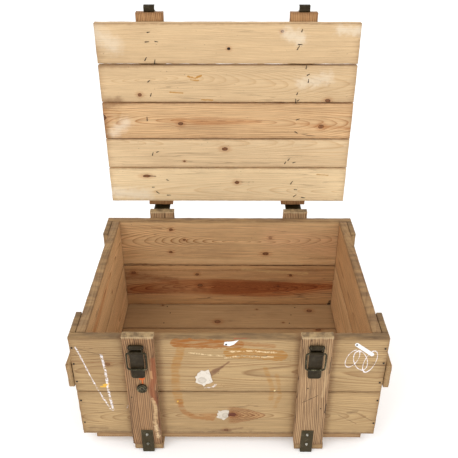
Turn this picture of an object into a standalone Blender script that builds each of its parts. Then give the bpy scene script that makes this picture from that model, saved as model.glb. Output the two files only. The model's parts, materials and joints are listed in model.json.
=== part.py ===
"""Wooden shipping crate with a hinged, battened lid, cleat handles and two toggle latches.

Metres, +Z up.  Everything is laid out in the crate's own frame first: x runs to the right,
y to the rear, both from the middle of the box, and z rises from the bottom edge of the walls.
An empty named crate_frame then moves that frame, so that the origin ends up under the middle
of the whole object, on the surface it stands on.  The lid is drawn closed and its hinge empty
opens it, and each latch has an empty on its lever's axis and one on its bail's axis.
"""

import bmesh
import bpy
from math import atan2, cos, pi, radians, sin
from mathutils import Matrix, Vector

# ---- driving dimensions -------------------------------------------------------------
GAP = 0.0003                    # clearance between faces that touch

BOX_LENGTH = 0.720              # over the front and rear boards
BOX_DEPTH = 0.536               # over the same boards' faces
BOX_HEIGHT = 0.310              # walls, bottom edge to rim
SIDE_BOARD = 0.020              # thickness of the front and rear boards
END_BOARD = 0.022               # thickness of the end walls
CORNER_POST = (0.015, 0.073)    # corner posts: thickness, width
FLOOR_BOARD = 0.015             # thickness of the floor
FLOOR_LENGTH = 0.658            # floor boards, left to right
FLOOR_SETBACK = 0.002           # floor behind the front and rear faces
FLOOR_COUNT = 4
SEAM = 0.001                    # joint between two boards of one wall
FRONT_SEAM_Z = 0.144            # heights of the joints in the walls
REAR_SEAM_Z = 0.152
END_SEAM_Z = 0.158

CLEAT = (0.016, 0.072)          # handle cleats: thickness, height
CLEAT_BOTTOM_Z = 0.157
CLEAT_EASING = 0.004

BATTEN = (0.072, 0.020)         # front and rear battens: width, thickness
BATTEN_X = (-0.200, 0.195)      # left and right pair
BATTEN_RISE = 0.020             # battens above the rim
SKID = (0.072, 0.021)           # skids: width, thickness
SKID_X = (-0.197, 0.198)
SKID_SETBACK = 0.004            # skid ends behind the battens' faces

FOOT_STRAP = (0.0285, 0.002)    # angle straps under the skids: width, thickness
FOOT_STRAP_X = (-0.198, 0.191)
FOOT_STRAP_TOP_Z = 0.036
FOOT_STRAP_UNDER = 0.050        # leg under the skid
NAIL_Z = (0.024, -0.009)        # nails in each strap's upright leg
NAIL_HEAD = (0.0042, 0.0016)    # radius, height
NAIL_SHANK = (0.0017, 0.014)    # radius, length

LID_LENGTH = 0.682
LID_X = -0.005                  # middle of the lid
LID_BOARD = 0.020
LID_WIDTHS = (0.104, 0.100, 0.103, 0.086, 0.106)    # front to rear
LID_GAPS = (0.004, 0.0025, 0.002, 0.0035)
LID_BATTEN = (0.072, 0.022)     # width, thickness
LID_BATTEN_X = (-0.205, 0.190)
LID_BATTEN_FRONT = 0.0214       # batten ends past the lid's front and rear edges
LID_BATTEN_REAR = 0.0236
LID_REACH = 0.0384              # hinge axis to the lid's rear edge
OPEN_ANGLE = radians(90)

HINGE_X = (-0.203, 0.192)
HINGE_DROP = 0.012              # hinge axis below the battens' tops
HINGE_SHEET = 0.0025
HINGE_WIDTH = 0.047
KNUCKLE_RADIUS = 0.005
KNUCKLE_WIDTH = 0.016           # the lid's knuckle, between two on the crate
HINGE_PIN_RADIUS = 0.0022
LEAF_LENGTH = 0.070             # fixed leaf below the knuckles
LID_STRAP_LENGTH = 0.120        # strap along the lid batten

HOOK_X = (-0.205, 0.191)
HOOK_WIDTH = 0.028
HOOK_SHEET = 0.002
HOOK_REACH = 0.017              # hook past the lid batten's end
HOOK_FLOOR_Z = 0.335            # middle of the sheet under the hook's trough
HOOK_LIP_Z = 0.346
HOOK_TAIL = 0.055               # tail along the top of the lid batten

LATCH_X = (-0.204, 0.1935)
LATCH_SHEET = 0.002
LATCH_BASE = (0.026, 0.050)     # base plate: width, length
LEVER_AXIS = (0.0058, 0.305)    # in front of the batten's face, height
LEVER_WIDTH = 0.031
LEVER_BOTTOM_Z = 0.214
LEVER_CORNER = 0.007
LEVER_EAR = 0.0021
LEVER_PIN_RADIUS = 0.0032
ROLL_RADIUS = 0.0055
BAIL_AXIS = (0.009, 0.291)
BAIL_WIRE = 0.002               # radius
BAIL_WIDTH = 0.044              # between the middles of its arms
BAIL_LENGTH = 0.0485            # axis to the middle of its bar
BAIL_CORNER = 0.008
BARREL_RADIUS = 0.0045

SEAL_CAP = (0.012, 0.005)       # radius, height
SEAL_CAP_AT = (-0.199, 0.178)   # x, z on the left front batten

EASED_EDGE = 0.0012             # small bevel on every sawn edge
SIDES = ("left", "right")

# ---- worked out from them -----------------------------------------------------------
HALF_LENGTH = BOX_LENGTH / 2
HALF_DEPTH = BOX_DEPTH / 2
INNER_DEPTH = HALF_DEPTH - SIDE_BOARD               # inner faces of the front and rear boards
END_OUTSIDE = HALF_LENGTH - CORNER_POST[0]
BATTEN_FACE = HALF_DEPTH + BATTEN[1]
BATTEN_TOP = BOX_HEIGHT + BATTEN_RISE
FLOOR_BOTTOM = -GAP - FLOOR_BOARD
SKID_BOTTOM = FLOOR_BOTTOM - GAP - SKID[1]
STRAP_BOTTOM = SKID_BOTTOM - GAP - FOOT_STRAP[1]
HINGE_Y = BATTEN_FACE + GAP + KNUCKLE_RADIUS
HINGE_Z = BATTEN_TOP - HINGE_DROP
LID_REAR = HINGE_Y - LID_REACH
LID_FRONT = LID_REAR - sum(LID_WIDTHS) - sum(LID_GAPS)
LID_BATTEN_BOTTOM = BOX_HEIGHT + GAP + LID_BOARD + GAP
LID_BATTEN_TOP = LID_BATTEN_BOTTOM + LID_BATTEN[1]
FRONT_REACH = BATTEN_FACE + BAIL_AXIS[0] + BARREL_RADIUS
REAR_REACH = HINGE_Y + LID_BATTEN_TOP + GAP + HINGE_SHEET - HINGE_Z
FRAME_SHIFT = Vector((0, (FRONT_REACH - REAR_REACH) / 2, -STRAP_BOTTOM))

for startup_object in list(bpy.data.objects):
    bpy.data.objects.remove(startup_object, do_unlink=True)

parts = bpy.data.collections.new("shipping_crate")
cutters = bpy.data.collections.new("shipping_crate_cutters")
for collection in (parts, cutters):
    bpy.context.scene.collection.children.link(collection)


# ---- materials ----------------------------------------------------------------------
def finish(name, colour, roughness, metallic=0.0):
    material = bpy.data.materials.new(name)
    material.use_nodes = True
    shader = material.node_tree.nodes["Principled BSDF"]
    shader.inputs["Base Color"].default_value = (*colour, 1)
    shader.inputs["Roughness"].default_value = roughness
    shader.inputs["Metallic"].default_value = metallic
    return material


WALL_WOOD = finish("wall_wood", (0.50, 0.31, 0.15), 0.75)
END_WOOD = finish("end_wood", (0.46, 0.27, 0.12), 0.75)
BATTEN_WOOD = finish("batten_wood", (0.48, 0.32, 0.17), 0.78)
FLOOR_WOOD = finish("floor_wood", (0.42, 0.26, 0.13), 0.8)
LID_WOOD = finish("lid_wood", (0.72, 0.52, 0.30), 0.7)
OLIVE_STEEL = finish("olive_steel", (0.06, 0.055, 0.035), 0.45, 0.4)
STRAP_STEEL = finish("strap_steel", (0.09, 0.11, 0.07), 0.5, 0.3)
PIN_STEEL = finish("pin_steel", (0.20, 0.19, 0.17), 0.4, 0.9)
CAP_STEEL = finish("cap_steel", (0.07, 0.05, 0.035), 0.5, 0.3)


# ---- frames that carry the parts ----------------------------------------------------
def carrier(name, at, parent=None, turn=0.0):
    """An empty at a point of the crate's frame, with its parts' closed position kept."""
    empty = bpy.data.objects.new(name, None)
    empty["place"] = at
    empty.location = Vector(at) - Vector(parent["place"]) if parent else at
    empty.rotation_euler.x = turn
    empty.parent = parent
    parts.objects.link(empty)
    return empty


crate = carrier("crate_frame", (0, 0, 0))
crate.location = FRAME_SHIFT
lid = carrier("lid_axis", (0, HINGE_Y, HINGE_Z), crate, -OPEN_ANGLE)
levers, bails = [], []
for side, x in zip(SIDES, LATCH_X):
    lever_at = (x, -BATTEN_FACE - LEVER_AXIS[0], LEVER_AXIS[1])
    bail_at = (x, -BATTEN_FACE - BAIL_AXIS[0], BAIL_AXIS[1])
    levers.append(carrier(f"lever_axis_{side}", lever_at, crate))
    bails.append(carrier(f"bail_axis_{side}", bail_at, levers[-1]))


# ---- shapes -------------------------------------------------------------------------
def add(name, mesh, at, material, body, group=parts):
    """Put a mesh at a point of the crate's frame and tie it to the frame that carries it."""
    piece = bpy.data.objects.new(name, mesh)
    piece.parent = body
    piece.location = Vector(at) - Vector(body["place"])
    if material:
        mesh.materials.append(material)
    if group is cutters:
        piece.hide_render = True
        piece.display_type = "WIRE"
    group.objects.link(piece)
    return piece


def to_mesh(name, shape):
    mesh = bpy.data.meshes.new(name)
    shape.to_mesh(mesh)
    shape.free()
    return mesh


def ease(piece, width, segments=1):
    bevel = piece.modifiers.new("eased_edges", "BEVEL")
    bevel.width = width
    bevel.segments = segments
    bevel.limit_method = "ANGLE"
    bevel.angle_limit = radians(40)


def block(name, low, high, material=None, body=crate, edge=EASED_EDGE, group=parts):
    """A rectangular piece between two corners, with its sharp edges eased."""
    low, high = Vector(low), Vector(high)
    shape = bmesh.new()
    bmesh.ops.create_cube(shape, size=1, matrix=Matrix.Diagonal((*(high - low), 1)))
    piece = add(name, to_mesh(name, shape), (low + high) / 2, material, body, group)
    if edge:
        ease(piece, edge)
    return piece


def rod(name, radius, length, at, material=None, body=crate, along="X", sides=20, group=parts):
    """A round bar whose middle is at a point, along X or Y."""
    turn = Matrix.Rotation(pi / 2, 4, "Y" if along == "X" else "X")
    shape = bmesh.new()
    bmesh.ops.create_cone(
        shape, cap_ends=True, segments=sides, radius1=radius, radius2=radius,
        depth=length, matrix=turn,
    )
    piece = add(name, to_mesh(name, shape), at, material, body, group)
    piece.data.shade_smooth()
    piece.data.set_sharp_from_angle(angle=radians(40))
    return piece


def combine(piece, other, operation):
    boolean = piece.modifiers.new(f"{operation.lower()}_{other.name}", "BOOLEAN")
    boolean.operation = operation
    boolean.object = other


def arc(centre, radius, start, end, steps):
    """Points (y, z) on a circle about the x axis, from one angle to another."""
    turns = [start + (end - start) * i / steps for i in range(steps + 1)]
    return [(centre[0] + radius * cos(t), centre[1] + radius * sin(t)) for t in turns]


def bent_sheet(name, path, width, thickness, x, material, body):
    """A strip bent along a path of (y, z) points, which run along its middle."""
    shape = bmesh.new()
    edges = [
        [shape.verts.new((side * width / 2, y - path[0][0], z - path[0][1])) for y, z in path]
        for side in (-1, 1)
    ]
    for i in range(len(path) - 1):
        shape.faces.new((edges[0][i], edges[1][i], edges[1][i + 1], edges[0][i + 1]))
    piece = add(name, to_mesh(name, shape), (x, *path[0]), material, body)
    solid = piece.modifiers.new("sheet", "SOLIDIFY")
    solid.thickness = thickness
    solid.offset = 0
    solid.use_even_offset = True
    return piece


def turned(name, outline, steps=16):
    """A mesh turned about Z from an outline of (radius, z) that starts and ends on the axis."""
    shape = bmesh.new()
    rim = [shape.verts.new((radius, 0, z)) for radius, z in outline]
    for upper, lower in zip(rim, rim[1:]):
        shape.edges.new((upper, lower))
    return to_mesh(name, shape), steps


def add_turned(name, outline, at, face, material, body=crate, steps=16):
    """Place a turned piece with its foot on a front or rear face: face is -1 or 1 along y."""
    mesh, steps = turned(name, outline, steps)
    piece = add(name, mesh, at, material, body)
    piece.rotation_euler.x = -face * pi / 2
    screw = piece.modifiers.new("turn", "SCREW")
    screw.steps = screw.render_steps = steps
    screw.use_merge_vertices = True
    screw.merge_threshold = 0.0001
    return piece


# ---- the box ------------------------------------------------------------------------
def walls():
    """Front and rear walls of two boards each, long enough to cover the corner posts."""
    for wall, face, seam in (("front", -1, FRONT_SEAM_Z), ("rear", 1, REAR_SEAM_Z)):
        y = sorted((face * INNER_DEPTH, face * HALF_DEPTH))
        for half, bottom, top in (
            ("lower", 0, seam - SEAM / 2),
            ("upper", seam + SEAM / 2, BOX_HEIGHT),
        ):
            block(
                f"{wall}_board_{half}",
                (-HALF_LENGTH, y[0], bottom), (HALF_LENGTH, y[1], top), WALL_WOOD,
            )


def ends():
    """End walls between the side walls, with a post outside each corner and a cleat handle."""
    for side, hand in zip(SIDES, (-1, 1)):
        x = sorted((hand * END_OUTSIDE, hand * (END_OUTSIDE - END_BOARD)))
        reach = INNER_DEPTH - GAP
        for half, bottom, top in (
            ("lower", 0, END_SEAM_Z - SEAM / 2),
            ("upper", END_SEAM_Z + SEAM / 2, BOX_HEIGHT),
        ):
            block(f"end_{side}_{half}", (x[0], -reach, bottom), (x[1], reach, top), END_WOOD)

        x = sorted((hand * (END_OUTSIDE + GAP), hand * HALF_LENGTH))
        for corner, face in (("front", -1), ("rear", 1)):
            y = sorted((face * reach, face * (reach - CORNER_POST[1])))
            block(
                f"post_{corner}_{side}",
                (x[0], y[0], 0), (x[1], y[1], BOX_HEIGHT), BATTEN_WOOD,
            )

        inside = HALF_LENGTH + GAP
        x = sorted((hand * inside, hand * (inside + CLEAT[0])))
        block(
            f"cleat_{side}",
            (x[0], -HALF_DEPTH, CLEAT_BOTTOM_Z),
            (x[1], HALF_DEPTH, CLEAT_BOTTOM_Z + CLEAT[1]),
            BATTEN_WOOD, edge=CLEAT_EASING,
        )


def floor():
    """Floor boards side by side under the walls, on two skids that run front to rear."""
    reach = HALF_DEPTH - FLOOR_SETBACK
    pitch = (2 * reach + SEAM) / FLOOR_COUNT
    for i in range(FLOOR_COUNT):
        front = -reach + i * pitch
        block(
            f"floor_board_{i + 1}",
            (-FLOOR_LENGTH / 2, front, FLOOR_BOTTOM),
            (FLOOR_LENGTH / 2, front + pitch - SEAM, -GAP), FLOOR_WOOD,
        )
    end = BATTEN_FACE - SKID_SETBACK
    for side, x in zip(SIDES, SKID_X):
        block(
            f"skid_{side}",
            (x - SKID[0] / 2, -end, SKID_BOTTOM),
            (x + SKID[0] / 2, end, FLOOR_BOTTOM - GAP), BATTEN_WOOD,
        )


def battens_and_straps():
    """Upright battens on both long walls, each tied to its skid by a nailed angle strap."""
    head, shank = NAIL_HEAD, NAIL_SHANK
    nail = [(0, head[1]), (head[0] * 0.7, head[1] * 0.8), (head[0], 0.0), (shank[0], 0.0),
            (shank[0], -shank[1] + 0.003), (0, -shank[1])]
    for wall, face in (("front", -1), ("rear", 1)):
        for side, x, strap_x in zip(SIDES, BATTEN_X, FOOT_STRAP_X):
            y = sorted((face * (HALF_DEPTH + GAP), face * BATTEN_FACE))
            batten = block(
                f"{wall}_batten_{side}",
                (x - BATTEN[0] / 2, y[0], FLOOR_BOTTOM),
                (x + BATTEN[0] / 2, y[1], BATTEN_TOP), BATTEN_WOOD,
            )
            sheet = FOOT_STRAP[1]
            upright = face * (BATTEN_FACE + GAP + sheet / 2)
            path = [
                (upright, FOOT_STRAP_TOP_Z),
                (upright, STRAP_BOTTOM + sheet / 2),
                (upright - face * FOOT_STRAP_UNDER, STRAP_BOTTOM + sheet / 2),
            ]
            strap = bent_sheet(
                f"foot_strap_{wall}_{side}", path, FOOT_STRAP[0], sheet, strap_x,
                STRAP_STEEL, crate,
            )
            for number, z in enumerate(NAIL_Z, 1):
                name = f"nail_{wall}_{side}_{number}"
                surface = face * (BATTEN_FACE + GAP + sheet + GAP)
                hole = rod(
                    f"hole_{name}", shank[0] + GAP, 2 * (shank[1] + GAP),
                    (strap_x, surface, z), along="Y", sides=12, group=cutters,
                )
                combine(batten, hole, "DIFFERENCE")
                combine(strap, hole, "DIFFERENCE")
                add_turned(name, nail, (strap_x, surface, z), face, PIN_STEEL, steps=12)


# ---- the lid, drawn closed ----------------------------------------------------------
def lid_boards():
    """Five boards side by side under two battens that reach past them front and rear."""
    front = LID_FRONT
    for number, (width, gap) in enumerate(zip(LID_WIDTHS, (*LID_GAPS, 0)), 1):
        block(
            f"lid_board_{number}",
            (LID_X - LID_LENGTH / 2, front, BOX_HEIGHT + GAP),
            (LID_X + LID_LENGTH / 2, front + width, BOX_HEIGHT + GAP + LID_BOARD),
            LID_WOOD, lid,
        )
        front += width + gap
    for side, x in zip(SIDES, LID_BATTEN_X):
        block(
            f"lid_batten_{side}",
            (x - LID_BATTEN[0] / 2, LID_FRONT - LID_BATTEN_FRONT, LID_BATTEN_BOTTOM),
            (x + LID_BATTEN[0] / 2, LID_REAR + LID_BATTEN_REAR, LID_BATTEN_TOP),
            BATTEN_WOOD, lid,
        )


def hinges():
    """Cranked strap hinges: a leaf on the rear batten, a strap over the lid batten, a pin."""
    axis = (HINGE_Y, HINGE_Z)
    bend = KNUCKLE_RADIUS - HINGE_SHEET / 2         # middle of the sheet round the pin
    near = HINGE_Y - bend
    strap_z = LID_BATTEN_TOP + GAP + HINGE_SHEET / 2
    corner = 0.004                                  # bend radius of the crank
    batten_end = LID_REAR + LID_BATTEN_REAR
    clear = KNUCKLE_RADIUS + 0.0006                 # room round a knuckle for its neighbour
    for side, x in zip(SIDES, HINGE_X):
        strap_path = [(batten_end - LID_STRAP_LENGTH, strap_z)]
        strap_path += arc((near - corner, strap_z - corner), corner, pi / 2, 0, 4)
        strap_path += arc(axis, bend, pi, 2 * pi + radians(110), 14)
        strap = bent_sheet(
            f"hinge_strap_{side}", strap_path, HINGE_WIDTH, HINGE_SHEET, x, OLIVE_STEEL, lid
        )
        leaf_path = [(near, HINGE_Z - LEAF_LENGTH)]
        leaf_path += arc(axis, bend, pi, -radians(110), 14)
        leaf = bent_sheet(
            f"hinge_leaf_{side}", leaf_path, HINGE_WIDTH, HINGE_SHEET, x, OLIVE_STEEL, crate
        )
        for hand in (-1, 1):
            inner = x + hand * (KNUCKLE_WIDTH / 2 - GAP)
            outer = x + hand * HINGE_WIDTH
            low, high = sorted((inner, outer))
            notch = block(
                f"strap_notch_{side}_{'left' if hand < 0 else 'right'}",
                (low, HINGE_Y - 0.02, HINGE_Z - 0.02),
                (high, HINGE_Y + 0.02, HINGE_Z + clear), None, lid, 0, cutters,
            )
            combine(strap, notch, "DIFFERENCE")
        notch = block(
            f"leaf_notch_{side}",
            (x - KNUCKLE_WIDTH / 2, HINGE_Y - 0.02, HINGE_Z - clear),
            (x + KNUCKLE_WIDTH / 2, HINGE_Y + 0.02, HINGE_Z + 0.02), None, crate, 0, cutters,
        )
        combine(leaf, notch, "DIFFERENCE")
        rod(
            f"hinge_pin_{side}", HINGE_PIN_RADIUS, HINGE_WIDTH + 0.004, (x, *axis),
            PIN_STEEL, crate, sides=16,
        )


def hooks():
    """Catches bent from strip: over the top of each lid batten, down its end, then up again."""
    end = LID_FRONT - LID_BATTEN_FRONT
    top = LID_BATTEN_TOP + GAP + HOOK_SHEET / 2
    down = end - GAP - HOOK_SHEET / 2
    lip = end - HOOK_REACH + HOOK_SHEET / 2
    bend = 0.003
    path = [(end + HOOK_TAIL, top)]
    path += arc((down + bend, top - bend), bend, pi / 2, pi, 3)
    path += arc((down - bend, HOOK_FLOOR_Z + bend), bend, 0, -pi / 2, 3)
    path += arc((lip + bend, HOOK_FLOOR_Z + bend), bend, -pi / 2, -pi, 3)
    path += [(lip, HOOK_LIP_Z)]
    for side, x in zip(SIDES, HOOK_X):
        bent_sheet(f"hook_{side}", path, HOOK_WIDTH, HOOK_SHEET, x, OLIVE_STEEL, lid)


# ---- the latches --------------------------------------------------------------------
def latch_bases():
    """Plates on the front battens whose upper edge is rolled round the lever's pin."""
    bend = ROLL_RADIUS - LATCH_SHEET / 2
    y, z = -BATTEN_FACE - LEVER_AXIS[0], LEVER_AXIS[1]
    plate = y + bend
    path = [(plate, z + ROLL_RADIUS - LATCH_BASE[1])]
    path += arc((y, z), bend, 0, radians(285), 14)
    for side, x in zip(SIDES, LATCH_X):
        bent_sheet(
            f"latch_base_{side}", path, LATCH_BASE[0], LATCH_SHEET, x, OLIVE_STEEL, crate
        )
        rod(
            f"lever_pin_{side}", LEVER_PIN_RADIUS, LEVER_WIDTH + 0.004, (x, y, z),
            PIN_STEEL, crate,
        )


def latch_levers():
    """A hanging plate with a barrel for the bail and two ears that turn on the base's pin."""
    barrel_y, barrel_z = -BATTEN_FACE - BAIL_AXIS[0], BAIL_AXIS[1]
    pin_y, pin_z = -BATTEN_FACE - LEVER_AXIS[0], LEVER_AXIS[1]
    back = barrel_y + BARREL_RADIUS
    for side, x, body in zip(SIDES, LATCH_X, levers):
        low = (x - LEVER_WIDTH / 2, back - LATCH_SHEET, LEVER_BOTTOM_Z)
        high = (x + LEVER_WIDTH / 2, back, barrel_z)
        plate = block(f"lever_{side}", low, high, OLIVE_STEEL, body, 0)
        round_lower_corners(plate.data)
        barrel = rod(
            f"barrel_{side}", BARREL_RADIUS, LEVER_WIDTH, (x, barrel_y, barrel_z),
            body=body, group=cutters,
        )
        combine(plate, barrel, "UNION")
        for hand in (-1, 1):
            ear_x = x + hand * (LEVER_WIDTH - LEVER_EAR) / 2
            ear = ear_plate(
                f"ear_{side}_{'left' if hand < 0 else 'right'}", ear_x,
                (pin_y, pin_z), (barrel_y, barrel_z), body,
            )
            combine(plate, ear, "UNION")
        bores = (
            ("pin_bore", LEVER_PIN_RADIUS + GAP, pin_y, pin_z),
            ("bail_bore", BAIL_WIRE + GAP, barrel_y, barrel_z),
        )
        for name, radius, y, z in bores:
            bore = rod(
                f"{name}_{side}", radius, 2 * LEVER_WIDTH, (x, y, z), body=body, group=cutters
            )
            combine(plate, bore, "DIFFERENCE")


def round_lower_corners(mesh):
    shape = bmesh.new()
    shape.from_mesh(mesh)
    bottom = min(v.co.z for v in shape.verts)
    corners = [
        e for e in shape.edges
        if all(abs(v.co.z - bottom) < 1e-6 for v in e.verts)
        and abs(e.verts[0].co.x - e.verts[1].co.x) < 1e-6
    ]
    bmesh.ops.bevel(
        shape, geom=corners, offset=LEVER_CORNER, offset_type="OFFSET", segments=5,
        profile=0.5, affect="EDGES",
    )
    shape.to_mesh(mesh)
    shape.free()


def ear_plate(name, x, pin, barrel, body):
    """A link-shaped plate round two points (y, z): two half circles and their tangents."""
    pin_round, barrel_round = 0.0050, BARREL_RADIUS - 0.0003
    lean = atan2(barrel[1] - pin[1], barrel[0] - pin[0])
    outline = arc(pin, pin_round, lean + pi / 2, lean + 3 * pi / 2, 8)
    outline += arc(barrel, barrel_round, lean - pi / 2, lean + pi / 2, 8)
    shape = bmesh.new()
    rim = [shape.verts.new((-LEVER_EAR / 2, y - pin[0], z - pin[1])) for y, z in outline]
    face = shape.faces.new(rim)
    grown = bmesh.ops.extrude_face_region(shape, geom=[face])["geom"]
    moved = [v for v in grown if isinstance(v, bmesh.types.BMVert)]
    bmesh.ops.translate(shape, verts=moved, vec=(LEVER_EAR, 0, 0))
    bmesh.ops.recalc_face_normals(shape, faces=shape.faces)
    return add(name, to_mesh(name, shape), (x, *pin), None, body, cutters)


def latch_bails():
    """Closed wire loops that hang from the levers' barrels."""
    half = BAIL_WIDTH / 2
    small = 0.005                                   # upper corners, beside the barrel
    corners = (
        (-half + small, -small, small, pi, pi / 2),
        (half - small, -small, small, pi / 2, 0),
        (half - BAIL_CORNER, -BAIL_LENGTH + BAIL_CORNER, BAIL_CORNER, 0, -pi / 2),
        (-half + BAIL_CORNER, -BAIL_LENGTH + BAIL_CORNER, BAIL_CORNER, -pi / 2, -pi),
    )
    for side, body in zip(SIDES, bails):
        points = []
        for x, z, radius, start, end in corners:
            points += arc((x, z), radius, start, end, 4)
        wire = bpy.data.curves.new(f"bail_{side}", "CURVE")
        wire.dimensions = "3D"
        wire.bevel_depth = BAIL_WIRE
        wire.bevel_resolution = 2
        spline = wire.splines.new("POLY")
        spline.points.add(len(points) - 1)
        for point, (x, z) in zip(spline.points, points):
            point.co = (x, 0, z, 1)
        spline.use_cyclic_u = True
        wire.materials.append(OLIVE_STEEL)
        bail = bpy.data.objects.new(f"bail_{side}", wire)
        bail.parent = body
        parts.objects.link(bail)


def seal_cap():
    """A domed cap on the left front batten, below the latch."""
    radius, height = SEAL_CAP
    outline = [(0, height), (radius * 0.45, height * 0.93), (radius * 0.8, height * 0.62),
               (radius, height * 0.25), (radius, 0), (0, 0)]
    x, z = SEAL_CAP_AT
    add_turned("seal_cap", outline, (x, -BATTEN_FACE - GAP, z), -1, CAP_STEEL, steps=24)


walls()
ends()
floor()
battens_and_straps()
lid_boards()
hinges()
hooks()
latch_bases()
latch_levers()
latch_bails()
seal_cap()
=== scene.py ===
# %% [markdown]
# # A shipping crate of old pine
# This lesson dresses a working model of a wooden crate. The model is loaded first and stays as it is: it
# gives every board, strap and latch its size, its place and the body that it moves with. Each step then
# makes one kind of piece, or one finish, and lays it exactly where the model's own part is.

# %% Open the model
import json
import math
import random

import bpy
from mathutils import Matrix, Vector

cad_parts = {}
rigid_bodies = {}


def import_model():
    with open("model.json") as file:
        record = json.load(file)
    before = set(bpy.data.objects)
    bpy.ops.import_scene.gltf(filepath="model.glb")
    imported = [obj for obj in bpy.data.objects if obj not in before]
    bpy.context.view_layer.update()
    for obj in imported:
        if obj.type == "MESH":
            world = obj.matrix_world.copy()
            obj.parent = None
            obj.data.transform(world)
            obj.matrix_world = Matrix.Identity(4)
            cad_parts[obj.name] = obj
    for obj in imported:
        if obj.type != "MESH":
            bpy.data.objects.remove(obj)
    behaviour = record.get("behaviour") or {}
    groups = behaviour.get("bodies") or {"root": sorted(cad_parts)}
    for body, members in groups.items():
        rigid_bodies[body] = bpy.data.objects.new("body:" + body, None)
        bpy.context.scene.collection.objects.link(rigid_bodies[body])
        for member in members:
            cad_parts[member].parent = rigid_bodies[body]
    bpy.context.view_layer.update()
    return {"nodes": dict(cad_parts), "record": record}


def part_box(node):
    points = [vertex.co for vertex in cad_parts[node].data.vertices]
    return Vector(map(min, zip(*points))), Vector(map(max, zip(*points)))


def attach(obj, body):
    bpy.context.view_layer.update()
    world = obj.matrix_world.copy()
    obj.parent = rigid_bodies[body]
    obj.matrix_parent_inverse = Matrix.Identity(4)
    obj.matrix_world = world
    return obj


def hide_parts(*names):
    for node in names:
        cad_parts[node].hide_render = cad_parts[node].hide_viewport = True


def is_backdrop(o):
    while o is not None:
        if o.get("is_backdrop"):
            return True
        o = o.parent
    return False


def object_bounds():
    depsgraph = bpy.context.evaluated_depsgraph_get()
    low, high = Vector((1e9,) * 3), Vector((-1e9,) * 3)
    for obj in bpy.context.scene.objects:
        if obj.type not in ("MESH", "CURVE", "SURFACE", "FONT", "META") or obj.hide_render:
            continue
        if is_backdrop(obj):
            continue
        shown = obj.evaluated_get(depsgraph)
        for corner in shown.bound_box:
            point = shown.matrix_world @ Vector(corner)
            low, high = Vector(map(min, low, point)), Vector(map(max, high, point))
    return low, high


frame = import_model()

# %% [markdown]
# ## Short words for long commands
# An operator acts on everything that is selected, so each step below starts from an empty selection.
# These helpers also read a node's box, pick vertices by their place, and apply what has been done to a
# piece so that it ends unturned and unscaled at the origin, with its place in its mesh.

# %% Helpers for modelling
MM = 0.001


def select_only(*things):
    """Leaves just these objects selected, the first one active."""
    bpy.ops.object.select_all(action="DESELECT")
    for thing in things:
        thing.select_set(True)
    bpy.context.view_layer.objects.active = things[0]


def start(add, **settings):
    """Adds a primitive with nothing else selected and returns it."""
    bpy.ops.object.select_all(action="DESELECT")
    add(**settings)
    return bpy.context.object


def centre_and_size(node):
    """The middle and the size of a node's box."""
    low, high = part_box(node)
    return (low + high) / 2, high - low


def settle(piece, name):
    """Names a piece and puts its place, turn and scale into its mesh."""
    piece.name = name
    piece.data.name = name
    select_only(piece)
    bpy.ops.object.transform_apply(location=True, rotation=True, scale=True)
    return piece


def apply_all(piece):
    """Applies the modifiers from the first to the last."""
    select_only(piece)
    for modifier in list(piece.modifiers):
        bpy.ops.object.modifier_apply(modifier=modifier.name)


def choose(piece, mode, test):
    """In edit mode, selects the vertices, edges or faces for which test(element, mesh) is true."""
    select_only(piece)
    bpy.ops.object.mode_set(mode="EDIT")
    bpy.ops.mesh.select_mode(type=mode)
    bpy.ops.mesh.select_all(action="DESELECT")
    bpy.ops.object.mode_set(mode="OBJECT")
    mesh = piece.data
    elements = {"VERT": mesh.vertices, "EDGE": mesh.edges, "FACE": mesh.polygons}[mode]
    for element in elements:
        element.select = bool(test(element, mesh))
    bpy.ops.object.mode_set(mode="EDIT")


def leave_edit():
    bpy.ops.object.mode_set(mode="OBJECT")


def dress(piece, body, slot, *materials):
    """Gives a piece its materials and the body that it rides on. The slot is not used."""
    for material in materials:
        piece.data.materials.append(material)
    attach(piece, body)


def body_of(node):
    for name, members in frame["record"]["behaviour"]["bodies"].items():
        if node in members:
            return name
    raise KeyError(node)


print("bodies:", ", ".join(frame["record"]["behaviour"]["bodies"]))

# %% [markdown]
# ## A bench for materials
# Old pine is not one texture but several things laid over each other: growth rings, fibre, knots,
# the red heartwood, dirt and worn corners. All of it can be worked out from the place of a point in the
# board, so the rings run right through the board and come out on its ends as they do in a real one. An
# image could not do that. The class below only shortens the writing: each method adds one node, joins it
# up and returns its output.

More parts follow.
